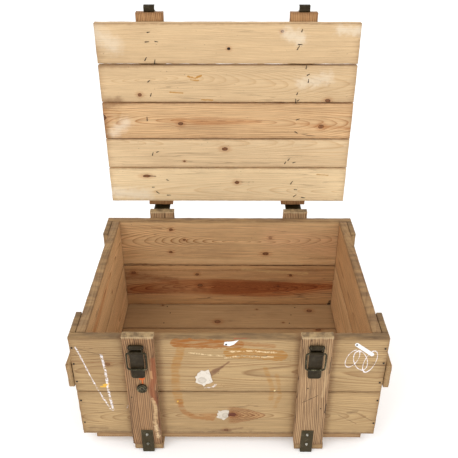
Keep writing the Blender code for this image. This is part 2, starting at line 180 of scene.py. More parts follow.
# %% A short way to write nodes
class Bench:
    """A node tree and one short method for each node that the finishes need."""

    def __init__(self, tree):
        self.tree = tree

    def node(self, kind, **settings):
        node = self.tree.nodes.new(kind)
        for key, value in settings.items():
            setattr(node, key, value)
        return node

    def plug(self, socket, value):
        if isinstance(value, bpy.types.NodeSocket):
            self.tree.links.new(value, socket)
        else:
            socket.default_value = value

    def math(self, operation, a, b=0.0, clamp=False):
        node = self.node("ShaderNodeMath", operation=operation, use_clamp=clamp)
        self.plug(node.inputs[0], a)
        self.plug(node.inputs[1], b)
        return node.outputs[0]

    def plus(self, a, b):
        return self.math("ADD", a, b)

    def minus(self, a, b):
        return self.math("SUBTRACT", a, b)

    def times(self, a, b):
        return self.math("MULTIPLY", a, b)

    def swing(self, value, reach):
        """A value from 0 to 1 made to swing evenly about zero, over the given reach."""
        return self.times(self.minus(value, 0.5), reach)

    def vector(self, operation, a, b=(0, 0, 0)):
        node = self.node("ShaderNodeVectorMath", operation=operation)
        self.plug(node.inputs[0], a)
        self.plug(node.inputs[1], b)
        measured = operation in ("LENGTH", "DISTANCE", "DOT_PRODUCT")
        return node.outputs["Value" if measured else "Vector"]

    def split(self, vector):
        node = self.node("ShaderNodeSeparateXYZ")
        self.plug(node.inputs[0], vector)
        return node.outputs[0], node.outputs[1], node.outputs[2]

    def join(self, x, y, z):
        node = self.node("ShaderNodeCombineXYZ")
        for socket, value in zip(node.inputs, (x, y, z)):
            self.plug(socket, value)
        return node.outputs[0]

    def noise(self, vector, stretch=(1, 1, 1), detail=2.0, roughness=0.5, shift=None):
        """Soft noise from 0 to 1; stretch says how many waves there are to a metre each way."""
        place = self.vector("MULTIPLY", vector, stretch)
        if shift is not None:
            place = self.vector("ADD", place, shift)
        node = self.node("ShaderNodeTexNoise")
        node.inputs["Scale"].default_value = 1.0
        node.inputs["Detail"].default_value = detail
        node.inputs["Roughness"].default_value = roughness
        self.plug(node.inputs["Vector"], place)
        return node.outputs["Fac"]

    def fade(self, value, start, end):
        """0 at start, 1 at end, with a soft step between them. Start may be the larger one."""
        node = self.node("ShaderNodeMapRange", interpolation_type="SMOOTHSTEP")
        low, high = min(start, end), max(start, end)
        self.plug(node.inputs["Value"], value)
        node.inputs["From Min"].default_value = low
        node.inputs["From Max"].default_value = high
        node.inputs["To Min"].default_value = 0.0 if start < end else 1.0
        node.inputs["To Max"].default_value = 1.0 if start < end else 0.0
        return node.outputs["Result"]

    def mix(self, share, a, b, blend="MIX"):
        node = self.node("ShaderNodeMix", data_type="RGBA", blend_type=blend, clamp_factor=True)
        self.plug(node.inputs[0], share)
        self.plug(node.inputs[6], a)
        self.plug(node.inputs[7], b)
        return node.outputs[2]

    def darken(self, share, colour, paint):
        """Multiplies a colour by a paint, over a share of the surface."""
        return self.mix(share, colour, self.mix(1.0, colour, paint, "MULTIPLY"))

    def ramp(self, value, stops):
        """A grey ramp through the given (position, level) stops."""
        node = self.node("ShaderNodeValToRGB")
        ramp = node.color_ramp
        while len(ramp.elements) < len(stops):
            ramp.elements.new(0.5)
        for element, (position, level) in zip(ramp.elements, stops):
            element.position = position
            element.color = (level, level, level, 1)
        self.plug(node.inputs[0], value)
        return node.outputs[0]

    def largest(self, values):
        result = values[0]
        for value in values[1:]:
            result = self.math("MAXIMUM", result, value)
        return result

    def call(self, group, **inputs):
        """Adds a group node and returns it. Input names use _ for a space."""
        node = self.node("ShaderNodeGroup", node_tree=group)
        for key, value in inputs.items():
            self.plug(node.inputs[key.replace("_", " ")], value)
        return node

    def bump(self, shader, height, strength, distance):
        """Lets a height tilt the light on the shader's surface."""
        bump = self.node("ShaderNodeBump")
        bump.inputs["Strength"].default_value = strength
        bump.inputs["Distance"].default_value = distance
        self.plug(bump.inputs["Height"], height)
        self.plug(shader.inputs["Normal"], bump.outputs["Normal"])


# %% Colours, materials and groups
def tint(code):
    """A colour written as six hex digits, turned into the linear values that a shader uses."""
    parts = [int(code[i:i + 2], 16) / 255 for i in (0, 2, 4)]
    linear = [p / 12.92 if p <= 0.04045 else ((p + 0.055) / 1.055) ** 2.4 for p in parts]
    return (*linear, 1.0)


def new_material(name):
    """Starts a material and returns it with its bench and its shader."""
    material = bpy.data.materials.new(name)
    material.use_nodes = True
    return material, Bench(material.node_tree), material.node_tree.nodes["Principled BSDF"]


def new_group(name, inputs, outputs):
    """Starts a node group and returns (group, bench, input sockets by name, output node)."""
    group = bpy.data.node_groups.new(name, "ShaderNodeTree")
    kinds = {"vector": "NodeSocketVector", "value": "NodeSocketFloat", "colour": "NodeSocketColor"}
    for label, kind in inputs:
        group.interface.new_socket(label, in_out="INPUT", socket_type=kinds[kind])
    for label, kind in outputs:
        group.interface.new_socket(label, in_out="OUTPUT", socket_type=kinds[kind])
    bench = Bench(group)
    entry = bench.node("NodeGroupInput")
    leave = bench.node("NodeGroupOutput")
    return group, bench, {s.name: s for s in entry.outputs}, leave


print("the bench is ready")

# %% [markdown]
# ## Growth rings
# A tree's rings are cylinders round the pith, so a ring's number at a point is its distance from the pith
# line divided by the ring's width. A sawn board is a flat cut through these cylinders. Where the pith
# line runs nearly along the board, the rings show as stripes, and where it leans through the face they
# show as the pointed arches that joiners call cathedrals. Each ring starts pale and soft and ends in a
# thin dark line. The ring's number also tells the heartwood from the sapwood: the old centre of the tree
# is redder. The group takes a place as along, across and through the board.

# %% Node group: pine
def make_pine_group():
    group, b, given, leave = new_group(
        "pine rings",
        [("Place", "vector"), ("Shift", "value"), ("Pith Across", "value"), ("Pith Depth", "value"),
         ("Lean", "value"), ("Ring Width", "value"), ("Heart Radius", "value"), ("Seed", "value"),
         ("Early", "colour"), ("Late", "colour"), ("Heart", "colour"), ("Contrast", "value")],
        [("Color", "colour"), ("Height", "value"), ("Fibre", "value")])
    place = given["Place"]
    along, across, depth = b.split(place)
    seed = b.join(given["Seed"], given["Seed"], b.times(given["Seed"], 1.7))

    def elsewhere(*step):
        return b.vector("ADD", seed, step)

    wander = b.noise(place, (2.2, 3.5, 3.5), 1.0, shift=seed)
    wander_depth = b.noise(place, (2.6, 2.0, 2.0), 1.0, shift=elsewhere(7.3, 1.1, 4.0))
    fine = b.noise(place, (9, 60, 60), 3.0, 0.6, shift=seed)
    sway = b.swing(wander, 0.055)
    side = b.minus(b.plus(b.plus(across, sway), given["Shift"]), given["Pith Across"])
    tilt = b.times(along, given["Lean"])
    dip = b.swing(wander_depth, 0.03)
    deep = b.minus(b.minus(depth, given["Pith Depth"]), b.plus(tilt, dip))
    radius = b.vector("LENGTH", b.join(0.0, side, deep))
    radius = b.plus(radius, b.swing(fine, 0.0022))
    number = b.math("DIVIDE", radius, given["Ring Width"])
    uneven = b.noise(b.join(number, given["Seed"], 0.0), (0.35, 1, 1), 2.0)
    number = b.plus(number, b.times(uneven, 1.6))
    saw = b.math("FRACT", number)
    late = b.ramp(saw, [(0.0, 0.0), (0.45, 0.04), (0.76, 0.40), (0.93, 1.0), (1.0, 0.0)])
    strength = b.noise(place, (3, 14, 14), 2.0, shift=elsewhere(3.0, 9.0, 2.0))
    late = b.times(late, b.fade(strength, 0.02, 0.62))
    late_share = b.times(late, given["Contrast"])
    fibre = b.noise(place, (11, 420, 420), 3.0, 0.65, shift=seed)
    streak = b.noise(place, (4.0, 130, 130), 3.0, 0.6, shift=seed)
    broad = b.noise(place, (2.0, 11, 11), 2.0, 0.6, shift=elsewhere(5.0, 3.0, 8.0))
    ragged = b.plus(radius, b.swing(streak, 0.014))
    heart = b.minus(given["Heart Radius"], ragged)
    heart = b.times(b.fade(heart, -0.004, 0.010), b.fade(strength, 0.10, 0.55))
    wood = b.mix(late_share, given["Early"], given["Late"])
    wood = b.darken(b.times(heart, 0.85), wood, given["Heart"])
    shade = b.plus(b.swing(streak, 0.46), b.swing(fibre, 0.95))
    shade = b.plus(shade, b.swing(broad, 0.36))
    lively = b.plus(b.times(given["Contrast"], 0.8), 0.2)
    shade = b.plus(b.times(shade, lively), 1.0)
    wood = b.mix(1.0, wood, b.join(shade, shade, shade), "MULTIPLY")
    check = b.noise(place, (2.4, 70, 70), 2.0, 0.5, shift=elsewhere(1.0, 6.0, 4.0))
    check = b.math("ABSOLUTE", b.minus(check, 0.5))
    check = b.times(b.fade(check, 0.012, 0.003), b.fade(broad, 0.50, 0.60))
    cracked = b.times(check, b.times(given["Contrast"], 0.62))
    wood = b.mix(cracked, wood, (0.10, 0.05, 0.025, 1))
    duct = b.noise(place, (55, 1300, 1300), 1.0, 0.5, shift=seed)
    duct = b.times(b.fade(duct, 0.70, 0.80), 0.35)
    wood = b.mix(duct, wood, (0.16, 0.08, 0.035, 1))
    height = b.plus(b.times(late, 0.5), b.times(fibre, 0.5))
    height = b.minus(height, check)
    for label, value in (("Color", wood), ("Height", height), ("Fibre", streak)):
        b.plug(leave.inputs[label], value)
    return group


PINE = make_pine_group()
print("pine group:", len(PINE.nodes), "nodes")

# %% [markdown]
# ## Knots
# A knot is a branch that goes through the board, so in the face it is an oval with rings of its own, a
# dark rim, a reddish halo, and grain that parts to flow round it. The group gives a mask for the knot
# and its halo, and the amount by which the rings beside it are pushed aside.

# %% Node group: knot
def make_knot_group():
    group, b, given, leave = new_group(
        "knot", [("Place", "vector"), ("Centre", "vector"), ("Radius", "value"), ("Stretch", "value")],
        [("Shift", "value"), ("Mask", "value"), ("Halo", "value"), ("Rings", "value")])
    offset = b.vector("SUBTRACT", given["Place"], given["Centre"])
    along, across, _ = b.split(offset)
    flat = b.join(b.math("DIVIDE", along, given["Stretch"]), across, 0.0)
    rough = b.noise(given["Place"], (160, 160, 60), 2.0)
    distance = b.math("DIVIDE", b.vector("LENGTH", flat), given["Radius"])
    distance = b.plus(distance, b.swing(rough, 0.55))
    push = b.math("EXPONENT", b.times(b.math("POWER", distance, 2.0), -0.16))
    shift = b.times(b.times(across, push), -0.72)
    mask = b.fade(distance, 0.96, 0.74)
    halo = b.fade(distance, 2.6, 0.8)
    rings = b.math("FRACT", b.times(distance, 3.6))
    rim = b.times(b.fade(distance, 0.52, 0.78), 0.95)
    rings = b.math("MAXIMUM", b.times(rings, 0.6), rim)
    for label, value in (("Shift", shift), ("Mask", mask), ("Halo", halo), ("Rings", rings)):
        b.plug(leave.inputs[label], value)
    return group


KNOT = make_knot_group()
print("knot group:", len(KNOT.nodes), "nodes")

# %% [markdown]
# ## Distance to a line
# Chalk strokes, brush strokes, scratches and cracks are all lines of some width. One group gives the
# distance from a point to a straight piece of line, and a stroke is the nearest of its pieces.

# %% Node group: distance to a line
def make_line_group():
    group, b, given, leave = new_group(
        "distance to a line", [("Place", "vector"), ("Start", "vector"), ("Run", "vector"),
                               ("Run Squared", "value")], [("Distance", "value")])
    offset = b.vector("SUBTRACT", given["Place"], given["Start"])
    share = b.math("DIVIDE", b.vector("DOT_PRODUCT", offset, given["Run"]), given["Run Squared"], clamp=True)
    nearest = b.vector("MULTIPLY", given["Run"], b.join(share, share, share))
    b.plug(leave.inputs["Distance"], b.vector("DISTANCE", offset, nearest))
    return group


LINE = make_line_group()


def line_distance(b, flat, points):
    """Distance on a flat place to a line through points, in millimetres on the same two axes."""
    nearest = None
    for (x0, y0), (x1, y1) in zip(points, points[1:]):
        start = (x0 * MM, y0 * MM, 0)
        run = ((x1 - x0) * MM, (y1 - y0) * MM, 0)
        squared = run[0] ** 2 + run[1] ** 2
        distance = b.call(LINE, Place=flat, Start=start, Run=run, Run_Squared=squared).outputs[0]
        nearest = distance if nearest is None else b.math("MINIMUM", nearest, distance)
    return nearest


print("line group ready")

# %% [markdown]
# ## A board's finish
# Every board gets its own material, because no two boards are cut from the same place in a tree. The
# function lays the layers in the order in which they happened to the real board: rings and knots grew,
# the saw and the plane left the surface, sun and hands darkened it, the corners wore pale, dirt settled
# in blotches and along the joints. A board's axes are named by letters, for instance "xzy" for a
# board that runs along x, is wide along z and thin along y.

# %% The woods of this crate
WOODS = {
    "lid": dict(early=tint("dcbf96"), late=tint("bb8f5c"), heart=(0.86, 0.68, 0.52, 1)),
    "lid top": dict(early=tint("d2b48b"), late=tint("b18757"), heart=(0.86, 0.68, 0.52, 1)),
    "lid foot": dict(early=tint("eacfa4"), late=tint("c89c68"), heart=(0.86, 0.68, 0.52, 1)),
    "orange": dict(early=tint("d6b184"), late=tint("a97546"), heart=(0.86, 0.66, 0.50, 1)),
    "front": dict(early=tint("b4966b"), late=tint("866440"), heart=(0.84, 0.62, 0.46, 1)),
    "rear": dict(early=tint("dcb585"), late=tint("9e6c3c"), heart=(0.80, 0.54, 0.38, 1)),
    "red": dict(early=tint("cda272"), late=tint("8f5c36"), heart=(0.74, 0.44, 0.29, 1)),
    # the floor's wood is darker than the walls' partly as painted shade for the inside of the crate, partly
    # as its own tone
    "floor": dict(early=tint("ab8960"), late=tint("8a6843"), heart=(0.80, 0.60, 0.45, 1)),
    "batten": dict(early=tint("b3916a"), late=tint("5b3b24"), heart=(0.74, 0.50, 0.36, 1)),
    "lid batten": dict(early=tint("bd9264"), late=tint("6e4526"), heart=(0.74, 0.50, 0.36, 1)),
    "dark batten": dict(early=tint("a17c57"), late=tint("55351f"), heart=(0.74, 0.50, 0.36, 1)),
}
DIRT = tint("5b4330")
WEATHERED = tint("8f7a58")
USUAL_STRETCH = 1.35            # how much longer a knot is along the board than across it
print("woods:", ", ".join(WOODS))

# %% Places in a board
def board_place(b, centre, axes):
    """The place in the board: along, across and through it, from its middle."""
    coordinates = b.node("ShaderNodeTexCoord").outputs["Object"]
    parts = dict(zip("xyz", b.split(b.vector("SUBTRACT", coordinates, tuple(centre)))))
    return coordinates, b.join(*(parts[letter] for letter in axes))


def edge_distance(b, place, half):
    """How far a point is from the nearest long corner: the middle one of its distances to the faces."""
    gaps = []
    for part, size in zip(b.split(place), half):
        gaps.append(b.minus(size, b.math("ABSOLUTE", part)))
    low = b.math("MINIMUM", gaps[0], gaps[1])
    high = b.math("MAXIMUM", gaps[0], gaps[1])
    return b.math("MAXIMUM", low, b.math("MINIMUM", high, gaps[2]))


# %% Knots and age
def lay_knots(b, colour, height, knots):
    """Lays the halos and the rings of the knot nodes over the wood, and sinks the knots a little."""
    halo = b.largest([knot.outputs["Halo"] for knot in knots])
    mask = b.largest([knot.outputs["Mask"] for knot in knots])
    rings = b.largest([b.times(knot.outputs["Rings"], knot.outputs["Mask"]) for knot in knots])
    colour = b.darken(b.times(halo, 0.46), colour, (0.66, 0.40, 0.26, 1))
    colour = b.mix(mask, colour, b.mix(rings, tint("93623e"), tint("2b160d")))
    return colour, b.minus(height, b.times(mask, 0.5))


def lay_age(b, colour, place, half, offset, dirt, weathered, pale):
    """Lays blotches of grime, then dirt, a dark line and pale wear along the corners."""
    blotch = b.noise(place, (7, 16, 16), 4.0, 0.62, shift=offset)
    grime = b.times(b.fade(blotch, 0.45, 0.75), dirt)
    colour = b.darken(b.times(grime, 0.8), colour, (0.50, 0.40, 0.33, 1))
    edge = edge_distance(b, place, half)
    chew = b.noise(place, (60, 110, 110), 3.0, 0.6, shift=offset)
    ragged = b.plus(edge, b.swing(chew, 0.010))
    stain = b.times(b.fade(ragged, 0.010, 0.0), dirt * 1.1)
    colour = b.darken(stain, colour, (0.52, 0.40, 0.32, 1))
    line = b.plus(edge, b.swing(chew, 0.0030))
    colour = b.mix(b.times(b.fade(line, 0.0022, 0.0002), 0.45), colour, tint("4a3422"))
    if weathered:
        worn = b.times(b.fade(ragged, 0.0022, -0.0006), weathered)
        colour = b.mix(worn, colour, b.mix(0.5, WEATHERED, pale))
    return colour


# %% Function: a pine finish
def pine_material(name, centre, half, axes, wood, seed, pith=(0.0, -0.04), lean=0.0, ring=0.004,
                  heart=0.0, contrast=0.8, knots=(), dirt=0.3, weathered=0.25, layers=()):
    """A pine finish. Knots are (along, across, radius) or with a stretch, in the model's millimetres.

    Each of the layers is a function that lays one more thing on top: weather, paint or chalk.
    """
    material, b, shader = new_material(name)
    coordinates, place = board_place(b, centre, axes)
    mid = [centre["xyz".index(letter)] for letter in axes]
    colours = WOODS[wood]
    shift = 0.0
    knot_nodes = []
    for along, across, radius, *stretch in knots:
        node = b.call(KNOT, Place=place, Centre=(along * MM - mid[0], across * MM - mid[1], 0),
                      Radius=radius * MM, Stretch=stretch[0] if stretch else USUAL_STRETCH)
        knot_nodes.append(node)
        shift = b.plus(node.outputs["Shift"], shift)
    pine = b.call(PINE, Place=place, Shift=shift, Pith_Across=pith[0], Pith_Depth=pith[1], Lean=lean,
                  Ring_Width=ring, Heart_Radius=heart, Seed=float(seed), Early=colours["early"],
                  Late=colours["late"], Heart=colours["heart"], Contrast=contrast)
    colour, height, fibre = (pine.outputs[label] for label in ("Color", "Height", "Fibre"))
    if knots:
        colour, height = lay_knots(b, colour, height, knot_nodes)
    offset = (seed * 1.3, seed * 0.7, seed * 2.1)
    colour = lay_age(b, colour, place, half, offset, dirt, weathered, colours["early"])
    end_gap = b.minus(half[0], b.math("ABSOLUTE", b.split(place)[0]))
    end_gap = b.plus(end_gap, b.swing(fibre, 0.05))
    colour = b.darken(b.times(b.fade(end_gap, 0.022, 0.0), 0.28), colour, (0.55, 0.45, 0.38, 1))
    specks = b.noise(place, (150, 260, 260), 1.0, 0.5, shift=offset)
    colour = b.mix(b.times(b.fade(specks, 0.76, 0.80), 0.55), colour, DIRT)
    for layer in layers:
        colour = layer(b, colour, coordinates)
    b.plug(shader.inputs["Base Color"], colour)
    b.plug(shader.inputs["Roughness"], b.plus(0.62, b.times(fibre, 0.22)))
    shader.inputs["Specular IOR Level"].default_value = 0.28
    dents = b.noise(place, (25, 70, 70), 3.0, 0.6, shift=offset)
    b.bump(shader, b.plus(height, b.times(dents, 0.7)), 0.55, 0.0011)
    return material


print("a pine finish can be made for any board")

# %% [markdown]
# ## A sawn board
# A board is a long block with its corners broken by years of handling. It could be sculpted, but a
# repeatable way is better: a cube is scaled to the board's box, its edges are bevelled, it is subdivided
# in each direction, and a displace modifier with a cloud texture then bites into the corners only. The
# bites go inwards, so the board never grows past its box.

# %% Function: a board
CORNER_CLOUD = bpy.data.textures.new("corner bites", "CLOUDS")
CORNER_CLOUD.noise_scale = 0.018
CORNER_CLOUD.noise_depth = 3
FACE_CLOUD = bpy.data.textures.new("saw waves", "CLOUDS")
FACE_CLOUD.noise_scale = 0.11
FACE_CLOUD.noise_depth = 1


def model_board(node, corner=1.3, bite=1.8, pitch=14.0, wave=0.5):
    """A board in a node's box. Corner, bite and wave are the bevel, the deepest bite out of a corner
    and the deepest hollow left by the saw, in millimetres."""
    centre, size = centre_and_size(node)
    board = start(bpy.ops.mesh.primitive_cube_add, size=1, location=centre)
    board.scale = size
    settle(board, node + "_board")
    bpy.ops.object.mode_set(mode="EDIT")
    bpy.ops.mesh.select_all(action="SELECT")
    bpy.ops.mesh.bevel(offset=corner * MM, segments=2, affect="EDGES")
    leave_edit()
    for axis in range(3):
        cuts = min(64, max(1, round(size[axis] / (pitch * MM)) - 1))
        shortest = size[axis] - 4 * corner * MM

        def runs_along(edge, mesh):
            run = mesh.vertices[edge.vertices[1]].co - mesh.vertices[edge.vertices[0]].co
            return abs(run[axis]) > shortest

        choose(board, "EDGE", runs_along)
        bpy.ops.mesh.subdivide(number_cuts=cuts)
        leave_edit()
    half = size / 2

    def near_corner(vertex, mesh):
        gaps = sorted(half[i] - abs(vertex.co[i] - centre[i]) for i in range(3))
        return gaps[1] < 2.2 * corner * MM

    board.vertex_groups.new(name="corners")
    choose(board, "VERT", near_corner)
    bpy.ops.object.vertex_group_assign()
    leave_edit()
    waves = board.modifiers.new("saw waves", "DISPLACE")
    waves.texture = FACE_CLOUD
    waves.texture_coords = "LOCAL"
    waves.mid_level = 0.0
    waves.strength = -wave * MM
    bites = board.modifiers.new("corner bites", "DISPLACE")
    bites.texture = CORNER_CLOUD
    bites.texture_coords = "LOCAL"
    bites.vertex_group = "corners"
    bites.mid_level = 0.30
    bites.strength = -bite * MM
    apply_all(board)
    bpy.ops.object.shade_smooth_by_angle(angle=math.radians(50))
    return board


def make_board(node, axes, wood, slot, seed, **finish):
    """Models one board, gives it its own pine, and puts it in the node's place."""
    shape = {key: finish.pop(key) for key in ("corner", "bite", "pitch", "wave") if key in finish}
    centre, size = centre_and_size(node)
    half = [size["xyz".index(letter)] / 2 for letter in axes]
    board = model_board(node, **shape)
    material = pine_material("pine " + node, centre, half, axes, wood, seed, **finish)
    dress(board, body_of(node), slot, material)
    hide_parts(node)
    print(board.name, len(board.data.polygons), "faces")
    return board


# %% [markdown]
# ## Marks on a face
# Chalk, brushed paint, scratches and dirt lie only on the face of a board, so they're laid over the pine
# as strokes. The painted shade, mixed with dirt, beside the front battens is laid on the same way. Each
# stroke is a line with a width, made ragged by noise so that it breaks up over the grain as real chalk
# does. The points are millimetres of the model, across and up. A stroke that doesn't reach a board is
# left out of its finish, because the renderer can't hold an endless one.

# %% Marks on a face
CHALK = tint("f3eef0")
OCHRE = tint("a4702c")
RUST_RED = tint("96591d")
GLUE = tint("7a4526")
SCRAPED = tint("ead0a4")
RESIN = tint("6d4632")


class Face:
    """The front face of a piece, its colour so far, and what each mark needs to know of it."""

    def __init__(self, b, colour, coordinates, front):
        self.b = b
        self.colour = colour
        self.x, y, z = b.split(coordinates)
        self.flat = b.join(self.x, z, 0.0)
        self.mask = b.fade(y, front + 0.0020, front + 0.0010)
        self.ragged = b.noise(coordinates, (260, 260, 260), 3.0, 0.65)
        self.wobble = b.minus(b.noise(coordinates, (90, 90, 90), 3.0, 0.6), 0.5)
        self.breaks = {"brush": b.fade(b.noise(coordinates, (26, 26, 420), 3.0, 0.6), 0.28, 0.60),
                       "dust": b.fade(self.ragged, 0.40, 0.55)}

    def uneven(self, distance, reach):
        """A distance that the wobble makes larger here and smaller there."""
        return self.b.plus(distance, self.b.times(self.wobble, reach))

    def lay(self, mask, paint):
        self.colour = self.b.mix(mask, self.colour, paint)

    def loops(self, middle, radii, count, share):
        """Pointed arches of red wood, as if the rings ran out through the face."""
        b = self.b
        offset = b.vector("SUBTRACT", self.flat, (middle[0] * MM, middle[1] * MM, 0))
        offset = b.vector("DIVIDE", offset, (radii[0] * MM, radii[1] * MM, 1))
        run, rise, _ = b.split(offset)
        arch = b.math("POWER", b.math("ABSOLUTE", rise), 1.4)
        reach = self.uneven(b.plus(run, arch), 0.22)
        inside = b.times(b.fade(reach, 1.03, 0.97), b.fade(run, -0.02, 0.12))
        inside = b.times(inside, b.fade(arch, 1.0, 0.55))
        inside = b.times(inside, b.times(self.mask, share))
        self.colour = b.darken(b.times(inside, 0.6), self.colour, (0.80, 0.52, 0.34, 1))
        ring = b.fade(b.math("FRACT", b.times(reach, count)), 0.45, 0.95)
        self.lay(b.times(ring, inside), tint("6f3b1c"))

    def stroke(self, points, width, soft, chew, share, paint, broken=None):
        """A line of paint, chalk or dirt. Broken says what breaks it up: brush or dust."""
        b = self.b
        distance = self.uneven(line_distance(b, self.flat, points), chew * MM)
        mask = b.fade(distance, (width / 2 + soft) * MM, (width / 2 - soft * 0.3) * MM)
        mask = b.times(mask, b.times(self.mask, share))
        if broken:
            mask = b.times(mask, self.breaks[broken])
        self.lay(mask, paint)

    def chalk_turn(self, middle, radii, lean):
        """One leaning oval of a chalk scribble."""
        b = self.b
        middle = (middle[0] * MM, middle[1] * MM, 0)
        turn = b.node("ShaderNodeVectorRotate", rotation_type="Z_AXIS")
        b.plug(turn.inputs["Vector"], self.flat)
        turn.inputs["Center"].default_value = middle
        turn.inputs["Angle"].default_value = lean
        offset = b.vector("SUBTRACT", turn.outputs[0], middle)
        reach = b.vector("LENGTH", b.vector("DIVIDE", offset, (radii[0] * MM, radii[1] * MM, 1)))
        gap = self.uneven(b.math("ABSOLUTE", b.minus(reach, 1.0)), 0.16)
        mask = b.times(b.fade(gap, 0.075, 0.01), b.fade(self.ragged, 0.32, 0.50))
        self.lay(b.times(mask, self.mask), CHALK)

    def scratch(self, points):
        distance = self.uneven(line_distance(self.b, self.flat, points), 0.002)
        scratch = self.b.times(self.b.fade(distance, 0.0013, 0.0002), self.mask)
        self.lay(self.b.times(scratch, 0.6), DIRT)

    def shade_beside(self, middle, reach):
        """Painted shade and dirt along both edges of an upright piece, as far from the crate's middle on the
        left as right.
        """
        b = self.b
        gap = b.math("ABSOLUTE", b.minus(b.math("ABSOLUTE", self.x), middle * MM))
        gap = self.uneven(b.math("ABSOLUTE", b.minus(gap, reach * MM)), 0.012)
        # a brown strip of painted shade, mixed with dirt, along each edge of the batten
        self.lay(b.times(b.fade(gap, 0.016, 0.0), 0.42), tint("6b4227"))


# %% Function: marks on a face
def face_marks(node, strokes, scribble=(), scratches=(), beside=(), arches=()):
    """Returns the layer of marks on the front face of a node. Only marks that reach it are made."""
    low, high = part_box(node)

    def reaches(points, width):
        sides, heights = ([value * MM for value in values] for values in zip(*points))
        if max(sides) + width * MM < low.x or min(sides) - width * MM > high.x:
            return False
        return max(heights) + width * MM > low.z and min(heights) - width * MM < high.z

    def layer(b, colour, coordinates):
        face = Face(b, colour, coordinates, low.y)
        for loops in arches:
            face.loops(*loops)
        for mark in strokes:
            if reaches(mark[0], mark[1]):
                face.stroke(*mark)
        for (across, up), (wide, tall), lean in scribble:
            if reaches([(across, up - tall), (across, up + tall)], 0):
                face.chalk_turn((across, up), (wide, tall), lean)
        for points in scratches:
            if reaches(points, 1):
                face.scratch(points)
        if beside:
            face.shade_beside(*beside)
        return face.colour

    return layer


print("strokes can be laid on any face")

# %% [markdown]
# ## Weather on the outside
# The outer faces had the rain and the sun while the inner ones stayed fresh, so a board that shows both
# is given a greyer, darker skin on one side only. It follows the place of its outer face.

# %% Function: weather on an outer face
def weather_outside(node, axis, sign=1):
    """Returns the layer of weather on the face of a node that looks along an axis, to its + or - side."""
    surface = abs(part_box(node)[1 if sign > 0 else 0]["xyz".index(axis)])

    def layer(b, colour, coordinates):
        parts = dict(zip("xyz", b.split(coordinates)))
        outside = b.fade(b.times(parts[axis], float(sign)), surface - 0.0030, surface - 0.0015)
        patchy = b.noise(coordinates, (7, 7, 9), 4.0, 0.62)
        share = b.plus(b.fade(patchy, 0.30, 0.70), 0.45)
        share = b.times(outside, b.times(share, 0.72))
        return b.darken(share, colour, (0.66, 0.60, 0.52, 1))

    return layer


print("outer faces can be weathered")

# %% [markdown]
# ## The lid's boards
# Five boards stand in a row on two battens. Their inner faces were hardly ever in the light, so they
# are the palest wood of the crate. The third board was cut near the middle of a tree and is more orange,
# with loops where the rings run out through its face.

# %% Lid boards
AMBER = tint("b57f33")
SMOKE = tint("7a5230")
BLOOM = tint("f0e6d2")
# each mark: its points, width, softness and raggedness in millimetres, its strength and colour, and what
# breaks it up if anything does
LID_MARKS = [
    ([(-110, 770), (-92, 764), (-74, 772)], 2.6, 1.0, 12, 0.90, AMBER),
    ([(-102, 760), (-82, 758)], 1.8, 1.0, 8, 0.80, AMBER),
    ([(-160, 726), (-126, 724)], 3.0, 1.2, 5, 0.80, AMBER),
    ([(-75, 706), (-46, 704)], 3.0, 1.2, 5, 0.80, AMBER),
    ([(252, 483), (284, 480)], 2.6, 1.2, 4, 0.65, AMBER),
    ([(-350, 690), (-300, 700)], 16, 14.0, 18, 0.55, SMOKE),
    ([(-350, 796), (-250, 798), (-150, 801)], 3, 9.0, 10, 0.50, SMOKE),
    ([(-350, 640), (-342, 600)], 12, 14.0, 16, 0.60, SMOKE),
    ([(-345, 905), (338, 907)], 3, 5.0, 8, 0.40, SMOKE),
    ([(-345, 696), (-60, 697), (338, 696)], 2, 4.0, 8, 0.50, SMOKE),
    ([(-340, 592), (338, 592)], 1.5, 4.0, 7, 0.50, SMOKE),
    ([(-340, 503), (338, 503)], 2.0, 4.0, 7, 0.50, SMOKE),
    ([(150, 880), (180, 868)], 12, 20.0, 34, 0.42, BLOOM),
    ([(280, 892), (330, 886)], 6, 18.0, 34, 0.42, BLOOM),
    ([(190, 750), (260, 766)], 10, 22.0, 34, 0.36, BLOOM),
    ([(-320, 610), (-285, 640)], 10, 22.0, 34, 0.40, BLOOM),
    ([(-335, 425), (-240, 415)], 10, 22.0, 34, 0.42, BLOOM),
    ([(-340, 880), (-300, 850)], 14, 30.0, 34, 0.34, BLOOM),
    ([(262, 629), (335, 624)], 5, 7.0, 9, 0.55, tint("ad6f3a"), "brush"),
    ([(188, 640), (246, 630)], 3, 7.0, 9, 0.45, tint("ad6f3a"), "brush"),
    ([(-346, 676), (-300, 668), (-312, 640), (-346, 622)], 5, 6.0, 12, 0.40, tint("a8753f"), "brush"),
    ([(30, 458), (70, 458)], 2, 2.0, 9, 0.40, SMOKE, "dust"),
    ([(-232, 478), (-214, 476)], 3, 2.0, 5, 0.60, tint("4a2c18")),
    ([(-3, 842), (-1, 842)], 5.5, 0.8, 3, 0.95, tint("1e1712")),
]
# each board: its wood, its seed, the loops that show in its face, and how it was cut from the tree
LID_BOARDS = [
    ("lid top", 3, [], dict(pith=(0.10, -0.05), lean=0.015, ring=0.0038, contrast=0.5, dirt=0.2,
                            knots=[(-2, 842, 4, 1.2), (135, 886, 4)])),
    ("lid top", 9, [], dict(pith=(0.01, -0.030), lean=-0.09, ring=0.0036, contrast=0.45, dirt=0.2,
                            knots=[(265, 703, 6), (-241, 719, 5)])),
    ("orange", 14, [((-110, 645), (205, 15), 4, 0.34)],
     dict(pith=(0.0, -0.006), lean=0.08, ring=0.0044, contrast=1.0, heart=0.008,
          knots=[(-135, 637, 6), (253, 629, 7), (-352, 655, 12, 1.4)])),
    ("lid", 21, [], dict(pith=(0.03, -0.03), lean=-0.05, ring=0.004, contrast=0.5, dirt=0.2,
                         knots=[(-13, 562, 6, 1.7), (-128, 524, 3)])),
    ("lid foot", 26, [], dict(pith=(-0.02, -0.04), lean=0.06, ring=0.0042, contrast=0.45, dirt=0.2,
                              knots=[(22, 457, 6), (-239, 477, 5, 2.6)])),
]
